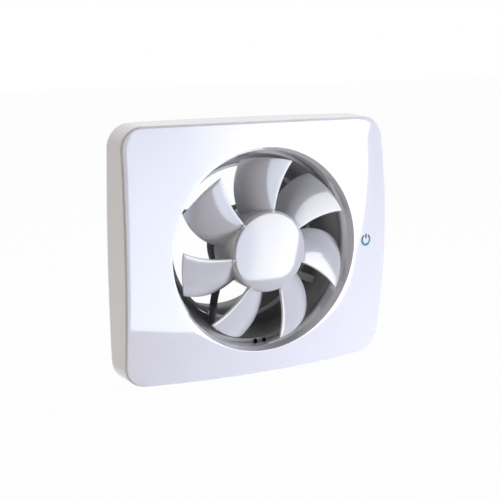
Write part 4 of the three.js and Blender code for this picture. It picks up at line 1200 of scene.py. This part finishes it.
class FAN_OT_add_duct(Operator):
    """Duct: shroud, bell, screw lugs, guide vanes and motor pod in one moulding"""
    bl_idname = "fan.add_duct"
    bl_label = "Add duct"

    def execute(self, context):
        duct = context.scene.fan_duct
        shell = spun("duct_moulding", self.wall_profile(duct), 160)
        core = self.core(duct)
        first = self.vane(duct, duct.vane_angle, duct.vane_sweep)
        vanes = [copied(first, "vane", about_axis(TURN * k / duct.vanes))
                 for k in range(2, duct.vanes)]
        vanes += [self.vane(duct, duct.lead_angle, duct.lead_sweep), self.channel(duct)]
        for vane in (first, *vanes):
            combine(vane, [copied(core, "core", Matrix.Identity(4))], "INTERSECT")
        bpy.data.objects.remove(core)
        combine(shell, [self.pod(duct), first, *vanes, *self.lugs(duct)], "UNION")
        combine(shell, self.pockets(context.scene.fan_cover, duct), "DIFFERENCE")
        settled(shell, "base", "grey_plastic", ["fan_duct"])
        return {"FINISHED"}

    @staticmethod
    def wall_profile(duct):
        end = duct.bell_end + duct.socket_depth
        crisp = 0.3 * MM
        front, collar = -duct.shroud_front, -duct.shroud_front + duct.collar
        return [
            (duct.shroud + crisp, front),
            (duct.shroud, front + crisp),
            *bell_curve(duct, 0, 18),
            (duct.socket, end - crisp),
            (duct.socket + crisp, end),
            (duct.socket + duct.wall, end),
            (duct.socket + duct.wall, duct.bell_end + duct.wall),
            *reversed(bell_curve(duct, duct.wall, 14)[:-1]),
            (duct.shroud + duct.wall, collar + 0.6 * MM),
            (duct.shroud + duct.wall + 0.2 * MM, collar + 0.2 * MM),
            (duct.shroud + duct.wall + 0.6 * MM, collar),
            (duct.collar_radius - crisp, collar),
            (duct.collar_radius, collar - crisp),
            (duct.collar_radius, front + crisp),
            (duct.collar_radius - crisp, front),
        ]

    @staticmethod
    def pockets(cover, duct):
        """Two small wells in the shroud's front, behind the notches in the lip."""
        return [rod(WELL_RADIUS, -duct.shroud_front - MM, -duct.shroud_front + 5 * MM,
                    (x, -(duct.shroud + WELL_OUT))) for x in notch_middles(cover)]

    @staticmethod
    def core(duct):
        """Solid space out to the middle of the wall, to trim the vanes against."""
        return spun("core", [
            (0, -duct.shroud_front),
            (duct.shroud + duct.wall / 2, -duct.shroud_front),
            *bell_curve(duct, duct.wall / 2, 18),
            (0, duct.bell_end + duct.wall / 2),
        ], 160)

    @staticmethod
    def arm(duct, start, sweep, section):
        """A curved bar from the pod to the wall, with the section's points at each radius."""
        sections = []
        for radius in steps_between(duct.pod - duct.pod_wall / 2, duct.shroud + duct.wall, 20):
            turned = start + sweep * (duct.shroud - radius) / (duct.shroud - duct.pod)
            middle = Vector((cos(turned), 0, sin(turned))) * radius
            aside = Vector((-sin(turned), 0, cos(turned)))
            sections.append([middle + aside * s + Vector((0, y, 0)) for s, y in section(radius)])
        return lofted("arm", sections, capped=True)

    @classmethod
    def channel(cls, duct):
        """The covered channel for the motor's leads, along the upper side of its vane."""
        low, crisp = duct.vane_thickness / 2 - 0.3 * MM, 0.4 * MM
        high = duct.vane_thickness / 2 + duct.channel_width
        front, rear = -duct.channel_front, duct.vane_rear - 0.3 * MM
        return cls.arm(duct, duct.lead_angle, duct.lead_sweep, lambda radius: [
            (low, rear), (low, front), (high - crisp, front), (high, front + crisp),
            (high, rear)])

    @classmethod
    def vane(cls, duct, start, sweep):
        """A swept guide vane with a round front edge, which flares where it meets the pod."""
        flare, reach = 0.9 * MM, 1.6 * MM

        def section(radius):
            near = max(0.0, 1 - abs(radius - duct.pod) / reach)
            half = duct.vane_thickness / 2 + flare * near ** 2
            return [(-half, duct.vane_rear),
                    *arc((0, half - duct.vane_front), half, -pi, 0, 8),
                    (half, duct.vane_rear)]

        return cls.arm(duct, start, sweep, section)

    @staticmethod
    def pod(duct):
        """The motor pod: a cup that opens to the rear, with three screw posts."""
        inside, crisp = -duct.pod_front + duct.pod_plate, 0.3 * MM
        cup = spun("pod", [
            (duct.pod_hole, -duct.pod_front),
            (duct.pod - 1.2 * MM, -duct.pod_front),
            (duct.pod - 0.35 * MM, -duct.pod_front + 0.35 * MM),
            (duct.pod, -duct.pod_front + 1.2 * MM),
            (duct.pod, duct.pod_rear - crisp),
            (duct.pod - crisp, duct.pod_rear),
            (duct.pod - duct.pod_wall, duct.pod_rear),
            (duct.pod - duct.pod_wall, inside + 0.4 * MM),
            (duct.pod - duct.pod_wall - 0.4 * MM, inside),
            (duct.pod_hole, inside),
        ], 96)
        front, rear = inside - duct.pod_plate / 2, duct.pod_rear - 0.3 * MM
        places = pod_posts(duct)
        combine(cup, [rod(duct.post, front, rear, place, 32) for place in places], "UNION")
        return combine(cup, [rod(duct.hole, inside + 0.6 * MM, duct.pod_rear + MM, place)
                             for place in places], "DIFFERENCE")

    @staticmethod
    def lugs(duct):
        """Four screw lugs with a rib under each."""
        front, rear = -duct.lug_front, -duct.lug_rear
        near = duct.shroud + duct.wall / 2
        arm = box("lug", (near, front, -duct.lug_radius), (duct.lug_place, rear, duct.lug_radius))
        crisp = 0.25 * MM
        end = spun("end", [
            (0, front), (duct.lug_radius - crisp, front), (duct.lug_radius, front + crisp),
            (duct.lug_radius, rear - crisp), (duct.lug_radius - crisp, rear), (0, rear),
        ], 40, (duct.lug_place, 0))
        rib = box("rib", (near, -duct.shroud_front + MM, -0.8 * MM),
                  (duct.shroud + duct.wall + 2.2 * MM, front + 0.5 * MM, 0.8 * MM), 0.2 * MM)
        combine(arm, [end, rib], "UNION")
        combine(arm, [rod(duct.hole, front - MM, rear + MM, (duct.lug_place, 0))], "DIFFERENCE")
        lugs = [copied(arm, "lug", about_axis(turned)) for turned in lug_turns(duct)]
        bpy.data.objects.remove(arm)
        return lugs


class FAN_OT_add_spigot(Operator):
    """Spigot: the tube behind the bell, with a thick front end and a lead-in"""
    bl_idname = "fan.add_spigot"
    bl_label = "Add spigot"

    def execute(self, context):
        duct = context.scene.fan_duct
        bore, front, end = duct.throat, duct.bell_end, duct.spigot_length
        thick, thin = bore + duct.ledge, bore + duct.spigot_wall
        seat = duct.bell_end + duct.socket_depth
        crisp = 0.15 * MM
        ease = duct.throat_round
        profile = [
            *arc((bore + ease, front + ease), ease, -QUARTER, -pi, 6),
            (bore, front + 2 * MM), (bore, 20 * MM), (bore, end - crisp), (bore + crisp, end),
            (thin - duct.spigot_taper - crisp, end), (thin - duct.spigot_taper, end - crisp),
            (thin, end - duct.taper_length), (thin, end - duct.taper_length - 0.6 * MM),
        ]
        for middle in (30 * MM, 26 * MM, 22 * MM):      # ridges that grip the duct
            profile += [(thin, middle + 0.7 * MM), (thin + 0.25 * MM, middle + 0.3 * MM),
                        (thin + 0.25 * MM, middle - 0.3 * MM), (thin, middle - 0.7 * MM)]
        profile += [
            (thin, seat + duct.ledge + 0.5 * MM), (thin, seat + duct.ledge), (thick, seat),
            (thick, front + crisp), (thick - crisp, front),
        ]
        obj = spun("spigot_tube", profile, 160)
        settled(obj, "base", "tube_plastic", ["spigot"])
        return {"FINISHED"}


class FAN_OT_add_pod_cap(Operator):
    """Pod cap: a low dome with a locating ring, screwed to the pod's posts"""
    bl_idname = "fan.add_pod_cap"
    bl_label = "Add pod cap"

    def execute(self, context):
        duct = context.scene.fan_duct
        seat, top = duct.cap_seat, duct.cap_seat + duct.cap_wall
        crisp = 0.3 * MM
        inner = duct.pod - duct.pod_wall - 0.3 * MM
        outside = arc((0, top), duct.cap_edge, 0, QUARTER, 14, duct.cap_rise)
        hollow_edge = duct.cap_edge - duct.cap_wall
        hollow = arc((0, seat), hollow_edge, 0, QUARTER, 14, duct.cap_rise)
        obj = spun("cap_moulding", [
            *reversed(hollow),
            (hollow_edge + crisp, seat),
            (inner - duct.cap_lip, seat),
            (inner - duct.cap_lip, seat - duct.cap_lip),
            (inner, seat - duct.cap_lip),
            (inner, seat),
            (duct.pod, seat),
            (duct.pod, top - 0.5 * MM),
            (duct.pod - 0.15 * MM, top - 0.15 * MM),
            (duct.pod - 0.5 * MM, top),
            (duct.cap_edge + 0.6 * MM, top),
            (duct.cap_edge + 0.15 * MM, top + 0.15 * MM),
            *outside[1:],
        ], 96)
        tools = []
        for place in pod_posts(duct):
            tools.append(rod(duct.post + 0.3 * MM, seat - 3 * MM, seat, place))
            tools.append(rod(duct.hole, seat - MM, top + MM, place))
        combine(obj, tools, "DIFFERENCE")
        settled(obj, "base", "grey_plastic", ["pod_cap"])
        return {"FINISHED"}


# Wall plate

def plate_post(place, radius, height, plate, duct):
    """A round post on the plate with a screw bore and a flared foot."""
    front = -plate.thickness - height
    floor = -plate.thickness + 0.4 * MM
    crisp, flare = 0.25 * MM, 0.7 * MM
    return spun("post", [
        (0, floor), (0, -plate.thickness), (duct.hole, -plate.thickness),
        (duct.hole, front + crisp), (duct.hole + crisp, front), (radius - crisp, front),
        (radius, front + crisp), (radius, -plate.thickness - flare),
        (radius + flare * 0.3, -plate.thickness - flare * 0.3), (radius + flare, -plate.thickness),
        (radius + flare, floor),
    ], 40, place)


def slot_tool(x, z, width, run, upright, front, rear):
    """A slot with round ends, along X or Z, as a cutting shape."""
    reach = (run - width) / 2
    points = [*arc((reach, 0), width / 2, -QUARTER, QUARTER, 12),
              *arc((-reach, 0), width / 2, QUARTER, 3 * QUARTER, 12)]
    if upright:
        points = [(-v, u) for u, v in points]
    flat = [(x + u, z + v) for u, v in points]
    return lofted("slot", [level(flat, front), level(flat, rear)], capped=True)


class FAN_OT_add_wall_plate(Operator):
    """Wall plate: a sheet with a rim, posts for the duct and boards, and slots"""
    bl_idname = "fan.add_wall_plate"
    bl_label = "Add wall plate"

    def execute(self, context):
        cover, plate, duct = (context.scene.fan_cover, context.scene.fan_plate,
                              context.scene.fan_duct)
        line = outline(cover, 0, (10, 8, 10))

        def ring(inset, depth):
            return level(outline(cover, inset, (10, 8, 10)), depth)

        front, top = -plate.thickness, -plate.thickness - plate.rim_height
        inside = plate.rim_inset + plate.rim_wall
        crisp = 0.25 * MM
        hole = mouth(line, plate.hole)
        inner_line = outline(cover, inside, (10, 8, 10))
        rings = [
            ring(plate.inset + crisp, 0), ring(plate.inset, -crisp),
            ring(plate.inset, front + crisp), ring(plate.inset + crisp, front),
            ring(plate.rim_inset - 0.4 * MM, front), ring(plate.rim_inset, front - 0.4 * MM),
            ring(plate.rim_inset, top + crisp), ring(plate.rim_inset + crisp, top),
            ring(inside - crisp, top), ring(inside, top + crisp),
            ring(inside, front - 0.4 * MM), ring(inside + 0.4 * MM, front),
            level(between(inner_line, hole, 0.5), front),
            level(mouth(line, plate.hole + crisp), front), level(hole, front + crisp),
            level(hole, -crisp), level(mouth(line, plate.hole + crisp), 0),
            level(between(inner_line, hole, 0.4), 0),
        ]
        obj = lofted("plate_moulding", rings)
        bosses = [polar(duct.lug_place, turned) for turned in lug_turns(duct)]
        combine(obj, [plate_post(place, radius, height, plate, duct) for places, radius, height in (
            (bosses, plate.boss, plate.boss_height),
            (CONTROL_POSTS, plate.post, plate.control_post),
            (TOUCH_POSTS, plate.post, plate.touch_post)) for place in places], "UNION")
        x, z = cover.width / 2 - plate.slot_inset, cover.height / 2 - plate.slot_inset
        cuts = [slot_tool(sx * x, sz * z, plate.slot_width, plate.slot_length, sx == sz,
                          front - MM, MM) for sx, sz in ((1, 1), (-1, 1), (-1, -1), (1, -1))]
        cuts.append(rod(plate.entry, front - MM, MM, ENTRY))
        cuts += [rod(duct.hole, front - MM, MM, place) for place in CLAMP_SCREWS]
        combine(obj, cuts, "DIFFERENCE")
        settled(obj, "base", "plate_plastic", ["wall_plate"], smooth=32)
        return {"FINISHED"}


def centre_of(node):
    low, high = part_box(node)
    return (low.x + high.x) / 2, (low.z + high.z) / 2


ENTRY = centre_of("cable_grommet")
CONTROL_POSTS = [centre_of(f"control_board_screw_{i}") for i in (1, 2)]
TOUCH_POSTS = [centre_of(f"touch_board_screw_{i}") for i in (1, 2)]
CLAMP_SCREWS = [centre_of(f"cable_clamp_screw_{i}") for i in (1, 2)]


class FAN_OT_add_grommet(Operator):
    """Rubber grommet in the plate's cable hole"""
    bl_idname = "fan.add_grommet"
    bl_label = "Add cable grommet"

    def execute(self, context):
        sizes, plate = context.scene.fan_fixings, context.scene.fan_plate
        bore, groove, flange = sizes.grommet_bore, sizes.grommet_groove, sizes.grommet_flange
        seat = -plate.thickness - 0.3 * MM
        front = -plate.thickness - sizes.grommet_height
        inner_round, outer_round, crisp = 0.5 * MM, 0.8 * MM, 0.3 * MM
        obj = spun("grommet_ring", [
            (bore, -2 * crisp), (bore, front + inner_round),
            *arc((bore + inner_round, front + inner_round), inner_round, -pi, -QUARTER, 4)[1:],
            *arc((flange - outer_round, front + outer_round), outer_round, -QUARTER, 0, 6),
            (flange, seat - crisp), (flange - crisp, seat), (groove, seat),
            (groove, -2 * crisp), (groove - crisp, -crisp), (bore + crisp, -crisp),
        ], 48, ENTRY)
        settled(obj, "base", "rubber", ["cable_grommet"])
        return {"FINISHED"}


# Screws: name, how many, radius and height of the head, length of the shank, and recess
SCREWS = [
    ("duct_screw", 4, 2.6, 1.8, 7.5, "cross"),
    ("pod_cap_screw", 3, 2.2, 1.5, 6.5, "cross"),
    ("control_board_screw", 2, 2.3, 1.5, 6.5, "cross"),
    ("touch_board_screw", 2, 2.0, 1.0, 6.5, "cross"),
    ("cable_clamp_screw", 2, 2.2, 1.5, 8.4, "cross"),
    ("terminal_screw", 3, 1.8, 1.4, 1.2, "slot"),
]
REAR_FACING = "pod_cap_screw"


class FAN_OT_add_screws(Operator):
    """Pan-head screws with driver recesses and threads"""
    bl_idname = "fan.add_screws"
    bl_label = "Add screws"

    def execute(self, context):
        sizes = context.scene.fan_fixings
        for node, amount, head, height, run, recess in SCREWS:
            model = self.screw(sizes, head * MM, height * MM, run * MM, recess)
            for i in range(1, amount + 1):
                name = f"{node}_{i}"
                low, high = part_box(name)
                x, z = centre_of(name)
                if node == REAR_FACING:
                    move = Matrix.Translation((x, high.y - height * MM, z))
                    move = move @ Matrix.Rotation(pi, 4, "X")
                else:
                    move = Matrix.Translation((x, low.y + height * MM, z))
                # each head stopped at an angle of its own
                turn = Matrix.Rotation(0.7 + 1.9 * i + 0.8 * len(node), 4, "Y")
                twin = copied(model, f"{node}_turned_{i}", move @ turn)
                settled(twin, "base", "zinc_screw", [name])
            bpy.data.objects.remove(model)
        return {"FINISHED"}

    @staticmethod
    def screw(sizes, head, height, run, recess):
        """One screw: its head's underside lies at y = 0 and it points to +Y."""
        flat, dome = head * 0.42, height * 0.72
        profile = [
            (0, -height), *arc((flat, dome - height), head - flat, -QUARTER, 0, 9, dome),
            (head, -0.1 * MM), (head - 0.1 * MM, 0), (sizes.shank, 0)]
        start, end = 0.5 * MM, run - 0.9 * MM
        core = sizes.shank - sizes.thread
        turns = max(1, int((end - start) / sizes.pitch))
        for k in range(turns):
            y = start + k * sizes.pitch
            profile += [(core, y + 0.2 * sizes.pitch), (sizes.shank, y + 0.5 * sizes.pitch),
                        (core, y + 0.8 * sizes.pitch)]
        if run > 3 * MM:
            profile += [(core, run - 0.8 * MM), (0.3 * MM, run)]
        else:
            profile = [point for point in profile if point[1] <= run - 0.1 * MM] + [(core, run)]
        obj = spun("screw", [*profile, (0, profile[-1][1])], 36)
        top, bottom = -height - 0.2 * MM, -height * 0.35
        reach, half = head * 0.55, head * 0.13
        arms = [(reach, half), (half, reach)] if recess == "cross" else [(head * 1.1, half * 1.3)]
        return combine(obj, [box("arm", (-x, top, -z), (x, bottom, z)) for x, z in arms],
                       "DIFFERENCE")


# CAD nodes that keep their shape

DRESSED_MOTOR = {
    "dark_steel": ["rotor_cup", "retaining_clip", "bearing_spring"],
    "steel": ["shaft", "front_bearing", "rear_bearing"],
    "ferrite": ["magnet_ring"],
    "laminated": ["stator_core"],
    "copper": [f"winding_{i}" for i in range(1, 7)],
    "black_plastic": ["bearing_tube"],
    "board_green": ["motor_board"],
}
DRESSED_ELECTRONICS = {
    "board_green": ["control_board", "touch_board"],
    "black_plastic": ["power_module", "terminal_block", "cable_clamp"],
    "sleeve": ["filter_capacitor"],
    "sensor_white": ["humidity_sensor"],
    "milky": ["light_guide"],
}


def dress(finishes):
    for finish, nodes in finishes.items():
        for node in nodes:
            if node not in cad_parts:
                raise RuntimeError(f"the frame has no node {node}")
            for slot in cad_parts[node].material_slots:
                slot.material = finish_of(finish)


class FAN_OT_dress_motor(Operator):
    """Gives the motor's solids their metals, magnet and copper"""
    bl_idname = "fan.dress_motor"
    bl_label = "Dress motor"

    def execute(self, context):
        dress(DRESSED_MOTOR)
        return {"FINISHED"}


class FAN_OT_dress_electronics(Operator):
    """Gives the boards and their components their finishes"""
    bl_idname = "fan.dress_electronics"
    bl_label = "Dress electronics"

    def execute(self, context):
        dress(DRESSED_ELECTRONICS)
        return {"FINISHED"}


# Stage

def camera_axes(stage):
    """The camera's right, up and forward directions."""
    forward = Vector((sin(stage.yaw) * cos(stage.pitch),
                      cos(stage.yaw) * cos(stage.pitch), -sin(stage.pitch)))
    right = Vector((cos(stage.yaw), -sin(stage.yaw), 0))
    return right, right.cross(forward), forward


def light_path(nodes):
    """1 for rays from the camera, from gloss or through glass, and 1 for gloss alone."""
    camera, glossy, clear = nodes.add(
        "LightPath", output=("Is Camera Ray", "Is Glossy Ray", "Is Transmission Ray"))
    return camera.atleast(glossy).atleast(clear), glossy


# Corners of the light panel, seen from the unit: degrees to the right of straight ahead, and up
PANEL_OUTLINE = [(-5, -28.7), (33, -29.8), (44, -28.3), (49.3, -25), (51.2, -20), (51.3, -8),
                 (52.8, 3), (55, 11), (57, 14), (50, 25), (30, 32), (-5, 31)]


# Lamps: name, setting with the power, place, what it points at, side of its square, colour
LAMPS = [
    ("right", "key", (1.873, -1.572, -0.520), (0, -0.02, 0), 0.8, (0.95, 0.97, 1.10)),
    ("above", "above", (0.05, 0.10, 0.60), (0, -0.01, 0.08), 0.45, (0.98, 0.98, 1.0)),
    ("beside", "beside", (-0.710, -0.190, 0.060), (-0.09, -0.01, 0), 0.4, (1.0, 0.86, 0.74)),
    ("behind", "behind", (0.35, 1.9, -0.5), (0, 0.03, 0), 0.6, (1.0, 1.0, 1.0)),
]


class FAN_OT_add_stage(Operator):
    """Camera, floor, light panel, lamps and soft white room"""
    bl_idname = "fan.add_stage"
    bl_label = "Add stage"

    def execute(self, context):
        scene, stage = context.scene, context.scene.fan_stage
        scene.view_settings.view_transform = "Standard"
        self.camera(scene, stage)
        self.floor(stage)
        self.panel(stage)
        for name, setting, *rest in LAMPS:
            self.lamp(f"lamp_{name}", getattr(stage, setting), *rest)
        self.world(scene, stage)
        return {"FINISHED"}

    @staticmethod
    def camera(scene, stage):
        right, up, forward = camera_axes(stage)
        target = right * stage.aside + up * stage.raised
        side = right * cos(stage.roll) + up * sin(stage.roll)
        top = up * cos(stage.roll) - right * sin(stage.roll)
        data = bpy.data.cameras.new("photo_camera")
        data.lens = stage.lens
        data.sensor_width = 36      # millimetres, as the lens
        data.shift_x = -0.001       # half a pixel of the photograph each way
        data.shift_y = 0.001
        data.clip_start = 0.01
        camera = bpy.data.objects.new("photo_camera", data)
        axes = Matrix((side, top, -forward)).transposed().to_4x4()
        camera.matrix_world = Matrix.Translation(target - forward * stage.distance) @ axes
        scene.collection.objects.link(camera)
        scene.camera = camera

    @staticmethod
    def lamp(name, power, place, target, side, tint):
        data = bpy.data.lights.new(name, "AREA")
        data.energy = power
        data.shape = "SQUARE"
        data.size = side
        data.color = tint
        lamp = bpy.data.objects.new(name, data)
        aim = (Vector(target) - Vector(place)).to_track_quat("-Z", "Y")
        lamp.matrix_world = Matrix.Translation(place) @ aim.to_matrix().to_4x4()
        lamp.visible_camera = False
        lamp.visible_glossy = False
        bpy.context.scene.collection.objects.link(lamp)

    @staticmethod
    def panel(stage):
        """A light panel in front, to the right: it gives the polished faces their bright window."""
        bpy.ops.object.select_all(action="DESELECT")
        bpy.ops.mesh.primitive_circle_add(vertices=len(PANEL_OUTLINE), fill_type="NGON")
        panel = bpy.context.object
        panel.name = "light_panel"
        for vertex, (across, up) in zip(panel.data.vertices, PANEL_OUTLINE):
            across, up = radians(across), radians(up)
            vertex.co = Vector((sin(across) * cos(up), -cos(across) * cos(up),
                                sin(up))) * stage.panel_distance
        panel.visible_camera = False
        panel.visible_shadow = False
        material, nodes = new_material("light_panel")
        glossy = light_path(nodes)[1]
        x, y, z = nodes.axes(nodes.add("TexCoord", output="Object"))
        turned = nodes.add("Math", {"operation": "ARCTAN2"}, {0: x, 1: y * -1.0})
        middle_share = nodes.ramped(turned, radians(6), radians(23))
        light = nodes.add("Emission", None, {
            "Color": nodes.mixed(middle_share, (0.60, 0.69, 0.82), (1.0, 1.0, 1.0)),
            "Strength": glossy * stage.panel_gloss * nodes.ramped(z, 0.0, 0.6, 1.0, 0.75)})
        nodes.finish(light)
        panel.data.materials.append(material)

    @staticmethod
    def floor(stage):
        bpy.ops.object.select_all(action="DESELECT")
        low = min(corner[2] for corner in cad_box)
        bpy.ops.mesh.primitive_plane_add(size=6, location=(0, 0, low - stage.floor_gap))
        floor = bpy.context.object
        floor.name = "floor"
        bpy.ops.object.transform_apply(location=True, rotation=True, scale=True)
        material, nodes = new_material("floor")
        shown = light_path(nodes)[0]
        light = nodes.add("Emission", None, {"Color": (1, 1, 1, 1), "Strength": 1.0})
        base = material.node_tree.nodes["Principled BSDF"]
        for socket, value in (("Base Color", (0.80, 0.80, 0.81, 1)), ("Roughness", 0.9),
                              ("Specular IOR Level", 0.1)):
            base.inputs[socket].default_value = value
        nodes.finish(nodes.add("MixShader", None, {
            0: shown * 0.98, 1: Signal(nodes.tree, base.outputs[0]), 2: light}))
        floor.data.materials.append(material)
        floor.visible_glossy = False
        floor.visible_shadow = False

    @staticmethod
    def world(scene, stage):
        """A white room, dimmer in front in reflections."""
        world = bpy.data.worlds.new("room")
        world.use_nodes = True
        scene.world = world
        nodes = Nodes(world.node_tree)
        y = nodes.axes(nodes.add("TexCoord", output="Generated"))[1]
        shown, glossy = light_path(nodes)
        front = nodes.ramped(y, 0.35, -0.1) * glossy
        seen = glossy * (stage.room_behind - front * (stage.room_behind - stage.room))
        strength = (shown - glossy) + seen + (1 - shown) * stage.fill
        nodes.finish(nodes.add("Background", None, {"Color": (1, 1, 1, 1), "Strength": strength}))


STEPS = [
    FAN_OT_add_cover, FAN_OT_add_symbol, FAN_OT_add_impeller, FAN_OT_add_duct,
    FAN_OT_add_spigot, FAN_OT_add_pod_cap, FAN_OT_add_wall_plate, FAN_OT_add_grommet,
    FAN_OT_add_screws, FAN_OT_dress_motor, FAN_OT_dress_electronics, FAN_OT_add_stage,
]


class FAN_PT_steps(Panel):
    """The fan's steps and settings"""
    bl_idname = "FAN_PT_steps"
    bl_label = "Wall extract fan"
    bl_space_type = "VIEW_3D"
    bl_region_type = "UI"
    bl_category = "Fan"

    def draw(self, context):
        for step in STEPS:
            self.layout.operator(step.bl_idname)
        for name, group in SETTINGS.items():
            box_layout = self.layout.box()
            settings = getattr(context.scene, name)
            for key in group.__annotations__:
                box_layout.prop(settings, key)


def register():
    for group in (*SETTINGS.values(), *STEPS, FAN_PT_steps):
        bpy.utils.register_class(group)
    for name, group in SETTINGS.items():
        setattr(bpy.types.Scene, name, PointerProperty(type=group))


def unregister():
    for name in SETTINGS:
        delattr(bpy.types.Scene, name)
    for group in reversed((*SETTINGS.values(), *STEPS, FAN_PT_steps)):
        bpy.utils.unregister_class(group)


def main():
    register()
    for step in STEPS:
        family, name = step.bl_idname.split(".")
        getattr(getattr(bpy.ops, family), name)()


if __name__ == "__main__":
    main()
